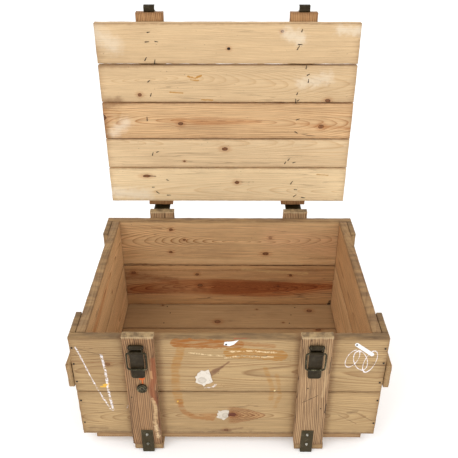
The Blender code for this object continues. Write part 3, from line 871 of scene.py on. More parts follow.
for number, (wood, seed, loops, sawn) in enumerate(LID_BOARDS, 1):
    node = "lid_board_" + str(number)
    layers = [weather_outside(node, "y"), face_marks(node, LID_MARKS, arches=loops)]
    make_board(node, "xzy", wood, "lid_wood", seed, layers=layers, **sawn)

# %% [markdown]
# ## The long walls
# The front and rear walls are two boards each, tongued together. The front carries most of the marks of
# use and the rear shows its dark seam inside, so their marks are listed first and laid on as layers.

# %% Marks on the front boards
FRONT_MARKS = [
    ([(-118, 334), (-20, 331), (20, 330)], 25, 2.0, 12, 0.95, RUST_RED, "brush"),
    ([(4, 306), (60, 302), (118, 297)], 29, 2.0, 9, 0.85, OCHRE, "brush"),
    ([(15, 334), (100, 326)], 9, 4.0, 9, 0.55, RUST_RED, "brush"),
    ([(-108, 315), (-122, 262), (-124, 205), (-118, 150)], 16, 5.0, 12, 0.62, OCHRE, "brush"),
    ([(-118, 152), (-108, 115), (-85, 98), (-40, 93)], 11, 4.0, 10, 0.60, RUST_RED, "brush"),
    ([(85, 258), (104, 190), (100, 160)], 8, 4.0, 9, 0.50, OCHRE, "brush"),
    ([(112, 240), (122, 170), (112, 135)], 6, 4.0, 9, 0.42, OCHRE, "brush"),
    ([(-88, 305), (-40, 298), (-14, 296)], 2.6, 1.2, 9, 0.65, SCRAPED, "dust"),
    ([(2, 309), (50, 311), (108, 306)], 3.0, 1.0, 6, 0.85, SCRAPED, "dust"),
    ([(-8, 290), (28, 296), (100, 293)], 3.4, 1.2, 6, 0.80, SCRAPED, "dust"),
    ([(20, 296), (86, 296)], 2.6, 0.8, 8, 0.60, tint("4e4234"), "dust"),
    ([(-320, 300), (-255, 240)], 80, 40.0, 30, 0.30, tint("7c5a38")),
    ([(12, 348), (62, 350)], 1.6, 1.0, 2, 0.60, tint("c4452e")),
    ([(290, 114), (308, 120)], 8, 3.0, 10, 0.45, DIRT, "brush"),
    ([(-42, 240), (-28, 252)], 12, 3.0, 6, 0.60, RESIN),
    ([(-34, 248), (-16, 262)], 7, 2.5, 6, 0.60, RESIN, "brush"),
    ([(-22, 256), (0, 277)], 3.0, 2.0, 4, 0.65, RESIN),
    ([(2, 107), (12, 106)], 9, 3.0, 6, 0.75, tint("5a2a1c")),
    ([(-40, 50), (-12, 52)], 3, 4.0, 8, 0.60, RESIN, "brush"),
    ([(4, 54), (34, 60)], 3, 4.0, 8, 0.55, RESIN, "brush"),
    ([(-340, 60), (-300, 58)], 3, 8.0, 12, 0.35, DIRT),
    ([(-200, 352), (340, 352)], 3, 5.0, 10, 0.35, DIRT, "brush"),
    ([(-350, 45), (350, 43)], 2, 5.0, 9, 0.45, DIRT),
    ([(-150, 60), (-20, 50), (60, 56)], 4, 9.0, 14, 0.30, DIRT, "brush"),
    ([(-360, 277), (-230, 274)], 1.2, 1.0, 3, 0.50, GLUE),
    ([(-160, 273), (360, 268)], 1.0, 1.0, 3, 0.35, GLUE),
    ([(-300, 199), (-282, 200)], 4.5, 0.8, 4, 0.92, tint("e3b044")),
    ([(-292, 204), (-282, 208)], 6.0, 0.8, 4, 0.92, tint("e3b044")),
    ([(-122, 150), (-121, 152)], 3, 0.6, 1, 0.85, tint("e7b443")),
    ([(108, 186), (109, 188)], 3, 0.6, 1, 0.85, tint("ead9a0")),
    ([(-345, 322), (-333, 280), (-319, 226), (-304, 178), (-284, 122)], 2.4, 1.1, 5, 0.90, CHALK, "dust"),
    ([(-289, 298), (-284, 249), (-284, 194), (-279, 122)], 4.6, 1.2, 4, 0.85, CHALK, "dust"),
    ([(-55, 195), (-38, 198), (-30, 206)], 3, 1.6, 5, 0.60, CHALK, "dust"),
    ([(-245, 140), (-241, 135), (-245, 128)], 1.4, 0.8, 2, 0.70, CHALK, "dust"),
]
SCRATCHES = [[(-350, 300), (-345, 298)], [(266, 106), (312, 76)], [(315, 109), (350, 86)],
             [(-343, 318), (-286, 296)], [(-352, 86), (-318, 80)], [(-352, 146), (-250, 139)]]
# a looping chalk scribble: the middles and radii of its overlapping turns
SCRIBBLE = [((281, 289), (13, 27), 0.35), ((300, 283), (15, 30), -0.3), ((322, 280), (13, 33), 0.25)]


def rim_weather(b, colour, coordinates):
    """The layer of grey from rain and hands along the rim of the walls and just below it."""
    z = b.split(coordinates)[2]
    patchy = b.noise(coordinates, (16, 60, 160), 4.0, 0.6)
    reach = b.plus(z, b.swing(patchy, 0.016))
    band = b.fade(reach, 0.3385, 0.3465)
    grey = b.mix(b.fade(patchy, 0.3, 0.7), tint("5a4430"), tint("957750"))
    return b.mix(b.times(band, 0.78), colour, grey)


# marks inside the crate, on the rear boards
REAR_MARKS = [
    ([(-320, 150), (-260, 146), (-170, 132)], 16, 12.0, 22, 0.55, tint("7c3f20"), "brush"),
    ([(-320, 90), (-230, 92), (-150, 104)], 14, 10.0, 20, 0.50, tint("7c3f20"), "brush"),
    ([(-110, 98), (-80, 98)], 10, 8.0, 16, 0.50, tint("6c351b"), "brush"),
    ([(40, 176), (120, 170), (240, 160)], 8, 3.0, 12, 0.60, tint("dab77f"), "brush"),
    ([(-320, 172), (330, 174)], 1, 6.0, 9, 0.45, SMOKE),
    ([(130, 290), (330, 262)], 50, 30.0, 20, 0.50, tint("e3b286"), "brush"),
    ([(-325, 191), (325, 191)], 2.8, 1.4, 3, 0.92, tint("20140c")),
    ([(319, 42), (322, 51)], 11, 2.0, 4, 0.95, tint("120b08")),
    ([(-320, 340), (-60, 342), (320, 340)], 8, 5.0, 8, 0.35, tint("dcb582"), "brush"),
    ([(-320, 207), (320, 202)], 14, 5.0, 8, 0.62, tint("e2bd8c"), "brush"),
    ([(-320, 183), (330, 184)], 7, 4.0, 7, 0.42, tint("cfa36e"), "brush"),
    ([(120, 318), (170, 312)], 2.2, 1.2, 6, 0.45, SMOKE, "dust"),
    ([(-230, 325), (-200, 322)], 1.8, 1.2, 6, 0.50, SMOKE, "dust"),
    ([(-225, 302), (-212, 301)], 2.2, 1.2, 6, 0.50, SMOKE, "dust"),
    ([(-320, 52), (330, 56)], 16, 6.0, 8, 0.40, tint("cba06c"), "brush"),
]
print(len(FRONT_MARKS), "marks in front and", len(REAR_MARKS), "on the rear boards")


def front_face(node, arches=()):
    """The layer of everything that has happened to the front boards, with the painted shade beside the
    battens.
    """
    # painted shade, mixed with dirt, lies in strips along both edges of the front battens
    middle_of_batten, shade_and_dirt_beside_it = 198, 38
    return face_marks(node, FRONT_MARKS, SCRIBBLE, SCRATCHES, (middle_of_batten, shade_and_dirt_beside_it), arches)


# %% Long walls
make_board("front_board_upper", "xzy", "front", "wall_wood", 31, pith=(-0.02, -0.06), lean=0.02,
           ring=0.0045, contrast=0.8, knots=[(-277, 270, 5)], bite=2.4,
           layers=[rim_weather, front_face("front_board_upper")])
make_board("front_board_lower", "xzy", "front", "wall_wood", 37, pith=(-0.007, -0.010), lean=0.10,
           ring=0.0040, contrast=0.8, heart=0.009, knots=[(10, 107, 7, 1.3), (-6, 53, 5)], bite=2.6,
           layers=[front_face("front_board_lower", [((-4, 105), (94, 34), 7, 0.75)])])
make_board("rear_board_upper", "xzy", "rear", "wall_wood", 42, pith=(0.012, -0.015), lean=0.11,
           ring=0.0038, contrast=1.1,
           knots=[(-174, 319, 5), (-135, 283, 4), (-178, 239, 5), (123, 291, 5), (110, 234, 6, 1.8)],
           layers=[weather_outside("rear_board_upper", "y"), rim_weather,
                   face_marks("rear_board_upper", REAR_MARKS)])
make_board("rear_board_lower", "xzy", "red", "wall_wood", 47, pith=(-0.01, -0.012), lean=0.09,
           ring=0.0042, contrast=1.1, heart=0.036,
           knots=[(-297, 162, 6), (-100, 157, 5), (-92, 115, 6, 1.6), (153, 112, 4), (190, 154, 4)],
           layers=[weather_outside("rear_board_lower", "y"),
                   face_marks("rear_board_lower", REAR_MARKS, arches=[((-80, 110), (402, 36), 19, 0.95)])])

# %% [markdown]
# ## End walls, posts, cleats, floor and skids
# The end walls stand between the long walls and are held by four posts outside them. A cleat across the
# posts is the carrying handle. The floor boards lie under the walls, and two skids under the floor keep
# the crate off the ground. They are all the same kind of board, so a loop over a short list makes them.

# %% End walls
for side, sign, wood, seed, pith, knots in (("left", -1, "rear", 52, 0.015, [(35, 237, 4)]),
                                            ("right", 1, "red", 58, -0.02, [])):
    upper, lower = "end_" + side + "_upper", "end_" + side + "_lower"
    make_board(upper, "yzx", wood, "end_wood", seed, pith=(pith, 0.03), lean=0.03, ring=0.0042,
               contrast=0.9, heart=0.022, knots=knots,
               layers=[weather_outside(upper, "x", sign), rim_weather])
    make_board(lower, "yzx", "rear", "end_wood", seed + 3, pith=(-pith, 0.04), lean=-0.02, ring=0.0046,
               contrast=0.9, heart=0.012, layers=[weather_outside(lower, "x", sign)])

# %% Posts and handle cleats
for number, name in enumerate(("front_left", "front_right", "rear_left", "rear_right")):
    make_board("post_" + name, "zyx", "front", "end_wood", 61 + 4 * number, pith=(0.05, -0.03), ring=0.0036,
               contrast=0.7, layers=[rim_weather])
for number, side in enumerate(("left", "right")):
    make_board("cleat_" + side, "yzx", "front", "batten_wood", 81 + 5 * number, pith=(0.05, -0.04),
               ring=0.0034, contrast=0.75, dirt=0.45, corner=3.0, bite=2.5, wave=1.5)

# %% Floor boards and skids
FLOOR_KNOTS = {
    1: [(166, -40, 6)],
    2: [(-250, 20, 5)],
    3: [(270, 112, 7), (-120, 60, 5)],
    4: [(-36, 149, 9, 1.2), (166, 146, 3), (-213, 229, 3), (87, 210, 3), (253, 204, 7.5)],
}
for number, knots in FLOOR_KNOTS.items():
    make_board("floor_board_" + str(number), "xyz", "floor", "floor_wood", 90 + 6 * number,
               pith=(0.02 * number - 0.05, 0.05), lean=0.01, ring=0.005, contrast=0.45, knots=knots, dirt=0.4)
for number, side in enumerate(("left", "right")):
    make_board("skid_" + side, "yxz", "front", "floor_wood", 120 + 6 * number, pith=(0.01, 0.05), ring=0.0038,
               contrast=0.8, dirt=0.55, bite=3.0, corner=1.8)

# %% [markdown]
# ## Battens
# The battens were cut on the quarter, so their rings run as close, strong stripes from end to end, and
# the wear of years has scoured the soft wood out between the hard lines. The left one in front also has
# a patch of red heartwood with a pale knot and a strip of pale sapwood down its right edge.

# %% Marks on the front battens
RED_HEART = tint("8b4f30")
PALE_SAP = tint("d0af83")
CRACK = tint("2b1c12")
ORANGE_PAINT = tint("cf6428")
BATTEN_MARKS = [
    ([(-169, 300), (-170, 250), (-178, 214), (-172, 170)], 9, 7.0, 8, 0.80, RED_HEART),
    ([(-176, 266), (-175, 246)], 4, 1.5, 4, 0.75, tint("b98a5e")),
    ([(-178, 180), (-171, 150), (-176, 110), (-171, 60)], 6, 3.0, 16, 0.75, PALE_SAP, "brush"),
    ([(-176, 88), (-171, 70), (-172, 50)], 8, 4.0, 14, 0.70, tint("e0c49b"), "dust"),
    ([(-168, 205), (-165, 120), (-168, 60)], 4, 2.0, 6, 0.65, tint("5a3420")),
    ([(-165, 225), (-164, 120), (-164, 30)], 0.9, 0.6, 3, 0.90, CRACK),
    ([(-200, 245), (-196, 245)], 9, 1.0, 3, 0.90, ORANGE_PAINT),
    ([(-197, 243), (-197, 230)], 3, 1.0, 2, 0.85, ORANGE_PAINT),
    ([(-226, 185), (-226, 186)], 3.0, 0.6, 1, 0.95, CRACK),
    ([(-234, 140), (-233, 40)], 0.8, 0.6, 3, 0.70, CRACK),
    ([(172, 169), (208, 193)], 0.9, 0.6, 3, 0.85, CRACK),
    ([(183, 215), (183, 216)], 2.6, 0.6, 1, 0.90, CRACK),
    ([(217, 149), (217, 150)], 2.6, 0.6, 1, 0.90, CRACK),
    ([(229, 311), (228, 262)], 1.0, 0.6, 3, 0.80, CRACK),
    ([(229, 165), (228, 135)], 1.8, 0.8, 2, 0.90, CRACK),
    ([(214, 330), (222, 240), (218, 190)], 5, 3.0, 6, 0.35, PALE_SAP),
]
print(len(BATTEN_MARKS), "marks on the front battens")

# %% Battens of the box and of the lid
def batten_weather(b, colour, coordinates):
    """The layer of wear on a batten's top end, rubbed pale on the corner and grey over the end."""
    z = b.split(coordinates)[2]
    patchy = b.noise(coordinates, (60, 60, 160), 4.0, 0.6)
    reach = b.plus(z, b.swing(patchy, 0.012))
    colour = b.mix(b.times(b.fade(reach, 0.360, 0.3675), 0.6), colour, tint("d2b88e"))
    grey = b.mix(b.fade(patchy, 0.35, 0.65), tint("5f4a33"), tint("a58a62"))
    return b.mix(b.times(b.fade(z, 0.3670, 0.3682), 0.8), colour, grey)


# each batten: its wood, how far the pith is to its side, and the width of its rings
BATTENS = {
    "front_batten_left": ("dark batten", 0.075, 0.0046),
    "front_batten_right": ("batten", 0.09, 0.0040),
    "rear_batten_left": ("batten", -0.08, 0.0042),
    "rear_batten_right": ("batten", 0.07, 0.0045),
}
for number, (name, (wood, pith, ring)) in enumerate(BATTENS.items()):
    layers = [batten_weather]
    if name.startswith("front"):
        layers.append(face_marks(name, BATTEN_MARKS))
    make_board(name, "zxy", wood, "batten_wood", 140 + 7 * number, pith=(pith, 0.015), ring=ring,
               contrast=1.5, dirt=0.35, weathered=0.5, corner=1.6, bite=2.6, layers=layers)
for number, side in enumerate(("left", "right")):
    make_board("lid_batten_" + side, "zxy", "lid batten", "batten_wood", 175 + 7 * number, pith=(0.08, 0.02),
               ring=0.0042, contrast=1.2, dirt=0.45, corner=1.6, bite=2.4)

# %% [markdown]
# ## Old olive paint on steel
# The hooks, latches and hinges are pressed steel under dark olive paint, rubbed through where hands and
# wire have worked on it. The paint is one material. A second one, for the corners, is the same paint worn
# to grey steel, and the bevel modifier puts it on the faces that it makes, so the wear lies exactly along
# the edges, as it does on the real thing.

# %% Steel finishes
def steel_material(name, paint, bare, worn, rust=0.25, metallic=0.35, rough=0.46):
    """Painted steel: worn is the share of bare metal, rust the share of brown bloom."""
    material, b, shader = new_material(name)
    place = b.node("ShaderNodeTexCoord").outputs["Object"]
    cloud = b.noise(place, (70, 70, 70), 4.0, 0.6)
    fine = b.noise(place, (600, 600, 600), 3.0, 0.6)
    chips = b.plus(b.times(cloud, 0.5), b.times(fine, 0.5))
    bared = b.fade(chips, 0.62 - 0.30 * worn, 0.68 - 0.28 * worn)
    light = b.mix(0.35, paint, (0.075, 0.058, 0.032, 1))
    colour = b.mix(b.fade(cloud, 0.40, 0.75), paint, light)
    colour = b.mix(b.times(b.fade(fine, 0.55, 0.72), rust), colour, tint("45301c"))
    colour = b.mix(bared, colour, bare)
    b.plug(shader.inputs["Base Color"], colour)
    shine = b.minus(rough + 0.12, b.times(cloud, 0.24))
    b.plug(shader.inputs["Roughness"], b.minus(shine, b.times(bared, 0.10)))
    b.plug(shader.inputs["Metallic"], b.plus(metallic, b.times(bared, 0.45)))
    shader.inputs["Specular IOR Level"].default_value = 0.16
    b.bump(shader, b.minus(fine, b.times(bared, 0.6)), 0.35, 0.0004)
    return material


OLIVE = steel_material("olive paint", tint("281e0b"), tint("5d553b"), 0.01, metallic=0.0, rough=0.46)
OLIVE_EDGE = steel_material("olive paint worn at the edge", tint("443a1f"), tint("979073"), 0.5, metallic=0.1)
STRAP = steel_material("strap steel", tint("3b321d"), tint("746c54"), 0.06, rust=0.35, metallic=0.0,
                       rough=0.55)
STRAP_EDGE = steel_material("strap steel worn at the edge", tint("4c4735"), tint("8b8672"), 0.5, rust=0.3,
                            metallic=0.2)
WIRE = steel_material("bail wire", tint("2f2a18"), tint("7f795f"), 0.30, metallic=0.15, rough=0.42)
BRIGHT = steel_material("bright nail steel", tint("6f6c60"), tint("b9b5aa"), 0.45, metallic=0.6, rough=0.40)
DARK_NAIL = steel_material("dark nail steel", tint("2f2a26"), tint("6f6a62"), 0.10, rust=0.6)
TIN = steel_material("seal tin", tint("1b140a"), tint("433a26"), 0.01, rust=0.60, metallic=0.0)
TIN_EDGE = steel_material("seal tin worn at the edge", tint("4a4228"), tint("948b68"), 0.5, metallic=0.1)
print("steel finishes ready")

# %% [markdown]
# ## Refining a pressed part
# The model's own hooks, straps and levers have the right shape but knife-sharp corners. A copy of each
# has its loose triangles merged and its flat faces made whole again, and then a small bevel rounds every
# corner. The copy takes the place of the plain part.

# %% Function: refine a part
def copy_of(node, name):
    """A merged copy of a node's mesh as an object of its own."""
    select_only(frame["nodes"][node])
    bpy.ops.object.duplicate()
    piece = bpy.context.object
    bpy.ops.object.parent_clear(type="CLEAR_KEEP_TRANSFORM")
    piece.data.materials.clear()
    settle(piece, name)
    bpy.ops.object.mode_set(mode="EDIT")
    bpy.ops.mesh.select_all(action="SELECT")
    bpy.ops.mesh.remove_doubles(threshold=0.00002)
    bpy.ops.mesh.dissolve_limited(angle_limit=math.radians(1.5))
    leave_edit()
    return piece


def wear_edges(piece, width, limit=32):
    """Rounds the corners sharper than a limit in degrees and gives them the second material."""
    bevel = piece.modifiers.new("edges", "BEVEL")
    bevel.width = width * MM
    bevel.segments = 2
    bevel.limit_method = "ANGLE"
    bevel.angle_limit = math.radians(limit)
    bevel.material = 1
    apply_all(piece)
    bpy.ops.object.shade_smooth_by_angle(angle=math.radians(40))


def refine(node, materials, slot, width=0.35, shape=None):
    """Replaces a node by its copy with rounded, worn edges; shape(piece) may add to it first."""
    piece = copy_of(node, node + "_part")
    if shape:
        shape(piece)
    dress(piece, body_of(node), slot, *materials)
    wear_edges(piece, width)
    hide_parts(node)
    print(piece.name, len(piece.data.polygons), "faces")


def file_back(piece):
    """Takes a little off the plate's back, so that the screw heads don't stand out behind the crate."""
    furthest = max(vertex.co.y for vertex in piece.data.vertices)
    choose(piece, "VERT", lambda vertex, mesh: vertex.co.y > furthest - 0.1 * MM)
    bpy.ops.transform.translate(value=(0, -0.35 * MM, 0))
    leave_edit()


def press_panel(piece):
    """Presses a shallow panel into the lever's front face."""
    front = [face for face in piece.data.polygons if face.normal.y < -0.98]
    widest = max(front, key=lambda face: face.area)
    print("a panel for a face of", round(widest.area * 1e6), "mm2")
    chosen = widest.index
    choose(piece, "FACE", lambda face, mesh: face.index == chosen)
    bpy.ops.mesh.inset(thickness=3.2 * MM, depth=0)
    bpy.ops.mesh.inset(thickness=0.7 * MM, depth=-0.4 * MM)
    leave_edit()


# %% Hooks, hinges, latches and foot straps
for side in ("left", "right"):
    refine("hook_" + side, (OLIVE, OLIVE_EDGE), "olive_steel")
    refine("hinge_strap_" + side, (OLIVE, OLIVE_EDGE), "olive_steel", shape=file_back)
    refine("hinge_leaf_" + side, (OLIVE, OLIVE_EDGE), "olive_steel")
    refine("hinge_pin_" + side, (DARK_NAIL, OLIVE_EDGE), "pin_steel", width=0.25)
    refine("latch_base_" + side, (OLIVE, OLIVE_EDGE), "olive_steel", width=0.25)
    refine("lever_pin_" + side, (DARK_NAIL, OLIVE_EDGE), "pin_steel", width=0.2)
    refine("lever_" + side, (OLIVE, OLIVE_EDGE), "olive_steel", width=0.3, shape=press_panel)
    for end in ("front", "rear"):
        refine("foot_strap_" + end + "_" + side, (STRAP, STRAP_EDGE), "strap_steel", width=0.3)

# %% [markdown]
# ## Wire bails
# Each bail is a loop of round wire. The model's bail has few sides, so its copy gets a subdivision
# surface, which turns it into a smooth round wire along the same path. Smoothing makes the wire a little
# thinner, so it is fattened first.

# %% Bails
for side in ("left", "right"):
    bail = copy_of("bail_" + side, "bail_" + side + "_wire")
    choose(bail, "VERT", lambda vertex, mesh: True)
    bpy.ops.transform.shrink_fatten(value=0.25 * MM)
    leave_edit()
    smooth = bail.modifiers.new("round", "SUBSURF")
    smooth.levels = smooth.render_levels = 1
    apply_all(bail)
    bpy.ops.object.shade_smooth()
    dress(bail, "bail_" + side, "pin_steel", WIRE)
    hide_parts("bail_" + side)
    print(bail.name, len(bail.data.polygons), "faces")

# %% [markdown]
# ## Nail heads
# One nail head is modelled and copied to every place: a disc with a low dome and a rounded rim. It's a
# twelve-sided cylinder whose top is inset and raised. Nobody drives nails in a perfect row, so each place
# is shifted a little by a random step that comes out the same every time.

# %% Function: nails
def model_head(radius, height, dome=0.45):
    """A nail head at the origin that looks along +Z, with a short shank below it."""
    head = start(bpy.ops.mesh.primitive_cylinder_add, vertices=12, radius=radius * MM, depth=height * MM)
    choose(head, "FACE", lambda face, mesh: face.normal.z > 0.9)
    bpy.ops.mesh.inset(thickness=radius * 0.28 * MM, depth=height * dome * 0.6 * MM)
    bpy.ops.mesh.inset(thickness=radius * 0.36 * MM, depth=height * dome * 0.4 * MM)
    leave_edit()
    bpy.ops.object.shade_smooth_by_angle(angle=math.radians(60))
    return head


def put_copy(template, place, turn):
    """Puts a copy of the template, with a mesh of its own, at a place with a turn."""
    select_only(template)
    bpy.ops.object.duplicate()
    copy = bpy.context.object
    copy.location = place
    copy.rotation_euler = turn
    return copy


def join_copies(template, copies, name):
    """Makes the copies one piece and takes the template away."""
    bpy.data.objects.remove(template)
    select_only(*copies)
    bpy.ops.object.join()
    return settle(bpy.context.object, name)


def spread(template, places, facing, name, body="crate_body", material=DARK_NAIL, replaced=()):
    """Copies the template to each place, turned to face a direction, and joins the copies."""
    turn = Vector(facing).to_track_quat("Z", "Y").to_euler()
    copies = [put_copy(template, place, turn) for place in places]
    piece = join_copies(template, copies, name)
    dress(piece, body, "pin_steel", material)
    if replaced:
        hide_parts(*replaced)
    print(name, len(places), "heads")


# %% Nails of the box and the lid
FRONT_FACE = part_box("front_board_upper")[0].y
REAR_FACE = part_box("rear_board_upper")[1].y
FLOOR_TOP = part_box("floor_board_1")[1].z
TO_FRONT, TO_REAR, UPWARDS = (0, -1, 0), (0, 1, 0), (0, 0, 1)
WALL_NAILS = (0.321, 0.273, 0.216, 0.153, 0.079)        # heights, in metres
POST_NAILS = (0.075, 0.135, 0.290, 0.325)
BATTEN_NAILS = (0.07, 0.12, 0.16, 0.22, 0.27, 0.33)
jitter = random.Random(7)


def around(value, reach):
    """A value in metres, shifted at random by up to a reach in millimetres."""
    return value + jitter.uniform(-reach, reach) * MM


places = [(side * around(0.354, 2), FRONT_FACE, around(z, 3)) for side in (-1, 1) for z in WALL_NAILS]
spread(model_head(2.3, 0.9), places, TO_FRONT, "front_wall_nails")
places = [(side * around(0.353, 2), REAR_FACE, around(z, 4)) for side in (-1, 1) for z in WALL_NAILS]
spread(model_head(2.3, 0.9), places, TO_REAR, "rear_wall_nails")
for side, sign in (("left", -1), ("right", 1)):
    low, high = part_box("cleat_" + side)
    face = sign * (max(abs(low.x), abs(high.x)) - 0.9 * MM)
    columns = (low.y + 0.035, low.y + 0.07, high.y - 0.07, high.y - 0.035)
    rows = (low.z + 0.018, high.z - 0.018)
    places = [(face, around(y, 4), around(z, 3)) for y in columns for z in rows]
    spread(model_head(2.6, 0.9), places, (sign, 0, 0), "cleat_nails_" + side)
    places = []
    for post in ("post_front_" + side, "post_rear_" + side):
        low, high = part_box(post)
        face = sign * max(abs(low.x), abs(high.x))
        places += [(face, around((low.y + high.y) / 2, 14), around(z, 5)) for z in POST_NAILS]
    spread(model_head(2.1, 0.8), places, (sign, 0, 0), "post_nails_" + side)
places = []
for number in (1, 2, 3, 4):
    low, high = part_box("floor_board_" + str(number))
    for skid in ("skid_left", "skid_right"):
        middle = centre_and_size(skid)[0].x
        for y in (low.y + 0.028, (low.y + high.y) / 2, high.y - 0.028):
            places.append((around(middle, 16), around(y, 6), FLOOR_TOP))
spread(model_head(1.9, 0.7), places, UPWARDS, "floor_nails")
for side in ("left", "right"):
    low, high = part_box("rear_batten_" + side)
    middle = (low.x + high.x) / 2
    places = [(around(middle, 20), high.y, around(z, 6)) for z in BATTEN_NAILS]
    spread(model_head(2.4, 0.9), places, TO_REAR, "rear_batten_nails_" + side)
    low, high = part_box("lid_batten_" + side)
    middle = (low.x + high.x) / 2
    places = []
    for number in (1, 2, 3, 4, 5):
        board, size = centre_and_size("lid_board_" + str(number))
        places += [(around(middle, 22), high.y, board.z + lift * size.z) for lift in (-0.3, 0.05, 0.32)]
    spread(model_head(2.4, 0.9), places, TO_REAR, "lid_batten_nails_" + side, "lid")

# %% [markdown]
# ## Clenched nail points
# The lid's nails are longer than the boards are thick, so their points came out on the inner face and
# were hammered flat. Each is a thin bent wire that lies along the wood: a cone whose end is pushed over.

# %% Clenched points
LID_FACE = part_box("lid_board_1")[0].y
# each point: its place across and up in millimetres, and the way that it was bent in degrees
CLENCHED = [(-209, 883, 10), (-215, 859, 5), (-190, 860, -8), (-220, 813, 60), (-196, 805, 80),
            (-216, 755, 40), (-212, 717, 70), (-226, 648, 90), (-218, 544, 75), (-205, 552, 20),
            (-224, 441, 5), (-181, 465, -30), (-181, 415, 0), (-212, 425, -40), (184, 886, 70),
            (179, 853, 0), (176, 842, 60), (201, 792, 80), (206, 773, 30), (209, 755, 85),
            (181, 721, 70), (184, 703, 40), (179, 699, 95), (185, 649, 20), (183, 613, -30),
            (179, 454, 60), (191, 434, -5), (214, 408, -10), (190, 412, 40), (167, 528, 50),
            (158, 518, 65), (182, 520, 20)]


def model_clenched_point():
    """A nail point that lies along +X on the XY plane."""
    point = start(bpy.ops.mesh.primitive_cone_add, vertices=8, radius1=1.3 * MM, radius2=0.6 * MM,
                  depth=9 * MM, rotation=(0, math.radians(90), 0), location=(3 * MM, 0, 0.4 * MM))
    settle(point, "clenched_point")
    choose(point, "FACE", lambda face, mesh: face.normal.x < -0.9)
    bpy.ops.mesh.extrude_region_move(TRANSFORM_OT_translate={"value": (-1.2 * MM, 0, -0.9 * MM)})
    bpy.ops.mesh.extrude_region_move(TRANSFORM_OT_translate={"value": (-0.2 * MM, 0, -1.4 * MM)})
    leave_edit()
    bpy.ops.object.shade_smooth_by_angle(angle=math.radians(60))
    return point


point = model_clenched_point()
copies = []
for x, z, angle in CLENCHED:
    turn = (math.radians(90), math.radians(-angle), 0)
    copy = put_copy(point, (x * MM, LID_FACE + 0.4 * MM, z * MM), turn)
    copy.scale = (around(1.0, 250), 1, 1)
    copies.append(copy)
clenched = join_copies(point, copies, "lid_clenched_points")
dress(clenched, "lid", "pin_steel", DARK_NAIL)
print(clenched.name, len(CLENCHED), "points")

# %% [markdown]
# ## Strap nails and screws
# The foot straps hold with large domed nails, polished by being dragged over floors. The hinges and the
# hooks are screwed on: a screw is a short cylinder, and a thin block is taken out of its top for the slot.

# %% Strap nails
for end in ("front", "rear"):
    for side in ("left", "right"):
        nodes = ["nail_" + end + "_" + side + "_" + str(number) for number in (1, 2)]
        places = [centre_and_size(node)[0] for node in nodes]
        size = centre_and_size(nodes[0])[1] / MM
        spread(model_head(size.x / 2, size.y * 0.62, 0.6), places, TO_FRONT if end == "front" else TO_REAR,
               "strap_nails_" + end + "_" + side, body_of(nodes[0]), BRIGHT, nodes)

# %% Screws of the hinges and hooks
def model_screw(radius, height):
    """A slotted screw head with its top at the origin, looking along +Z."""
    cutter = start(bpy.ops.mesh.primitive_cube_add, size=1)
    cutter.scale = (radius * 3 * MM, 0.8 * MM, height * 0.8 * MM)
    settle(cutter, "slot cutter")
    screw = start(bpy.ops.mesh.primitive_cylinder_add, vertices=20, radius=radius * MM,
                  depth=height * MM, location=(0, 0, -height * MM / 2))
    settle(screw, "screw")
    choose(screw, "FACE", lambda face, mesh: face.normal.z > 0.9)
    bpy.ops.mesh.inset(thickness=radius * 0.22 * MM, depth=0)
    leave_edit()
    top = max(vertex.co.z for vertex in screw.data.vertices)
    choose(screw, "VERT", lambda vertex, mesh: vertex.co.z > top - 0.01 * MM
           and vertex.co.length > radius * 0.9 * MM)
    bpy.ops.transform.translate(value=(0, 0, -height * 0.35 * MM))
    leave_edit()
    slot = screw.modifiers.new("slot", "BOOLEAN")
    slot.operation = "DIFFERENCE"
    slot.object = cutter
    apply_all(screw)
    bpy.data.objects.remove(cutter)
    bpy.ops.object.shade_smooth_by_angle(angle=math.radians(35))
    return screw


def plate_face(piece, low, high):
    """How far back the part of a piece between two heights reaches."""
    return max(vertex.co.y for vertex in piece.data.vertices if low < vertex.co.z < high)


# each screwed part: the heights between which its plate is flat, its screws' radius, how far they stand
# out, and where they are: beside the part's middle, and up
SCREWED = {
    "hinge_strap": ((0.45, 0.50), 3.4, 0.33, [(-0.008, 0.398), (0.009, 0.436), (-0.006, 0.474)]),
    "hinge_leaf": ((0.28, 0.30), 3.2, 0.5, [(-0.010, 0.298), (0.010, 0.312), (-0.008, 0.328)]),
    "hook": ((0.870, 0.880), 3.0, 0.4, [(0, 0.885), (0, 0.908)]),
}
for side in ("left", "right"):
    for part, ((low, high), radius, proud, steps) in SCREWED.items():
        node = part + "_" + side
        middle = centre_and_size(node)[0].x
        face = plate_face(bpy.data.objects[node + "_part"], low, high) + proud * MM
        places = [(middle + step, face, z) for step, z in steps]
        spread(model_screw(radius, 1.2), places, TO_REAR, part + "_screws_" + side, body_of(node))

# %% [markdown]
# ## Seal cap
# A pressed tin cap covers a screw on the left batten. It starts as a short cylinder; its face is inset
# and pushed in for the dish, then inset and drawn out again for the boss in the middle.

# %% Seal cap
middle, size = centre_and_size("seal_cap")
cap = start(bpy.ops.mesh.primitive_cylinder_add, vertices=40, radius=size.x / 2, depth=size.y,
            location=middle, rotation=(math.radians(90), 0, 0))
settle(cap, "seal_cap_tin")
choose(cap, "FACE", lambda face, mesh: face.normal.y < -0.9)
bpy.ops.mesh.inset(thickness=1.6 * MM, depth=0)
bpy.ops.mesh.inset(thickness=1.2 * MM, depth=-1.6 * MM)
bpy.ops.mesh.inset(thickness=3.4 * MM, depth=0)
bpy.ops.mesh.inset(thickness=1.4 * MM, depth=0.9 * MM)
leave_edit()
dress(cap, "crate_body", "cap_steel", TIN, TIN_EDGE)
wear_edges(cap, 0.35, 30)
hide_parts("seal_cap")
print("seal cap", len(cap.data.polygons), "faces")

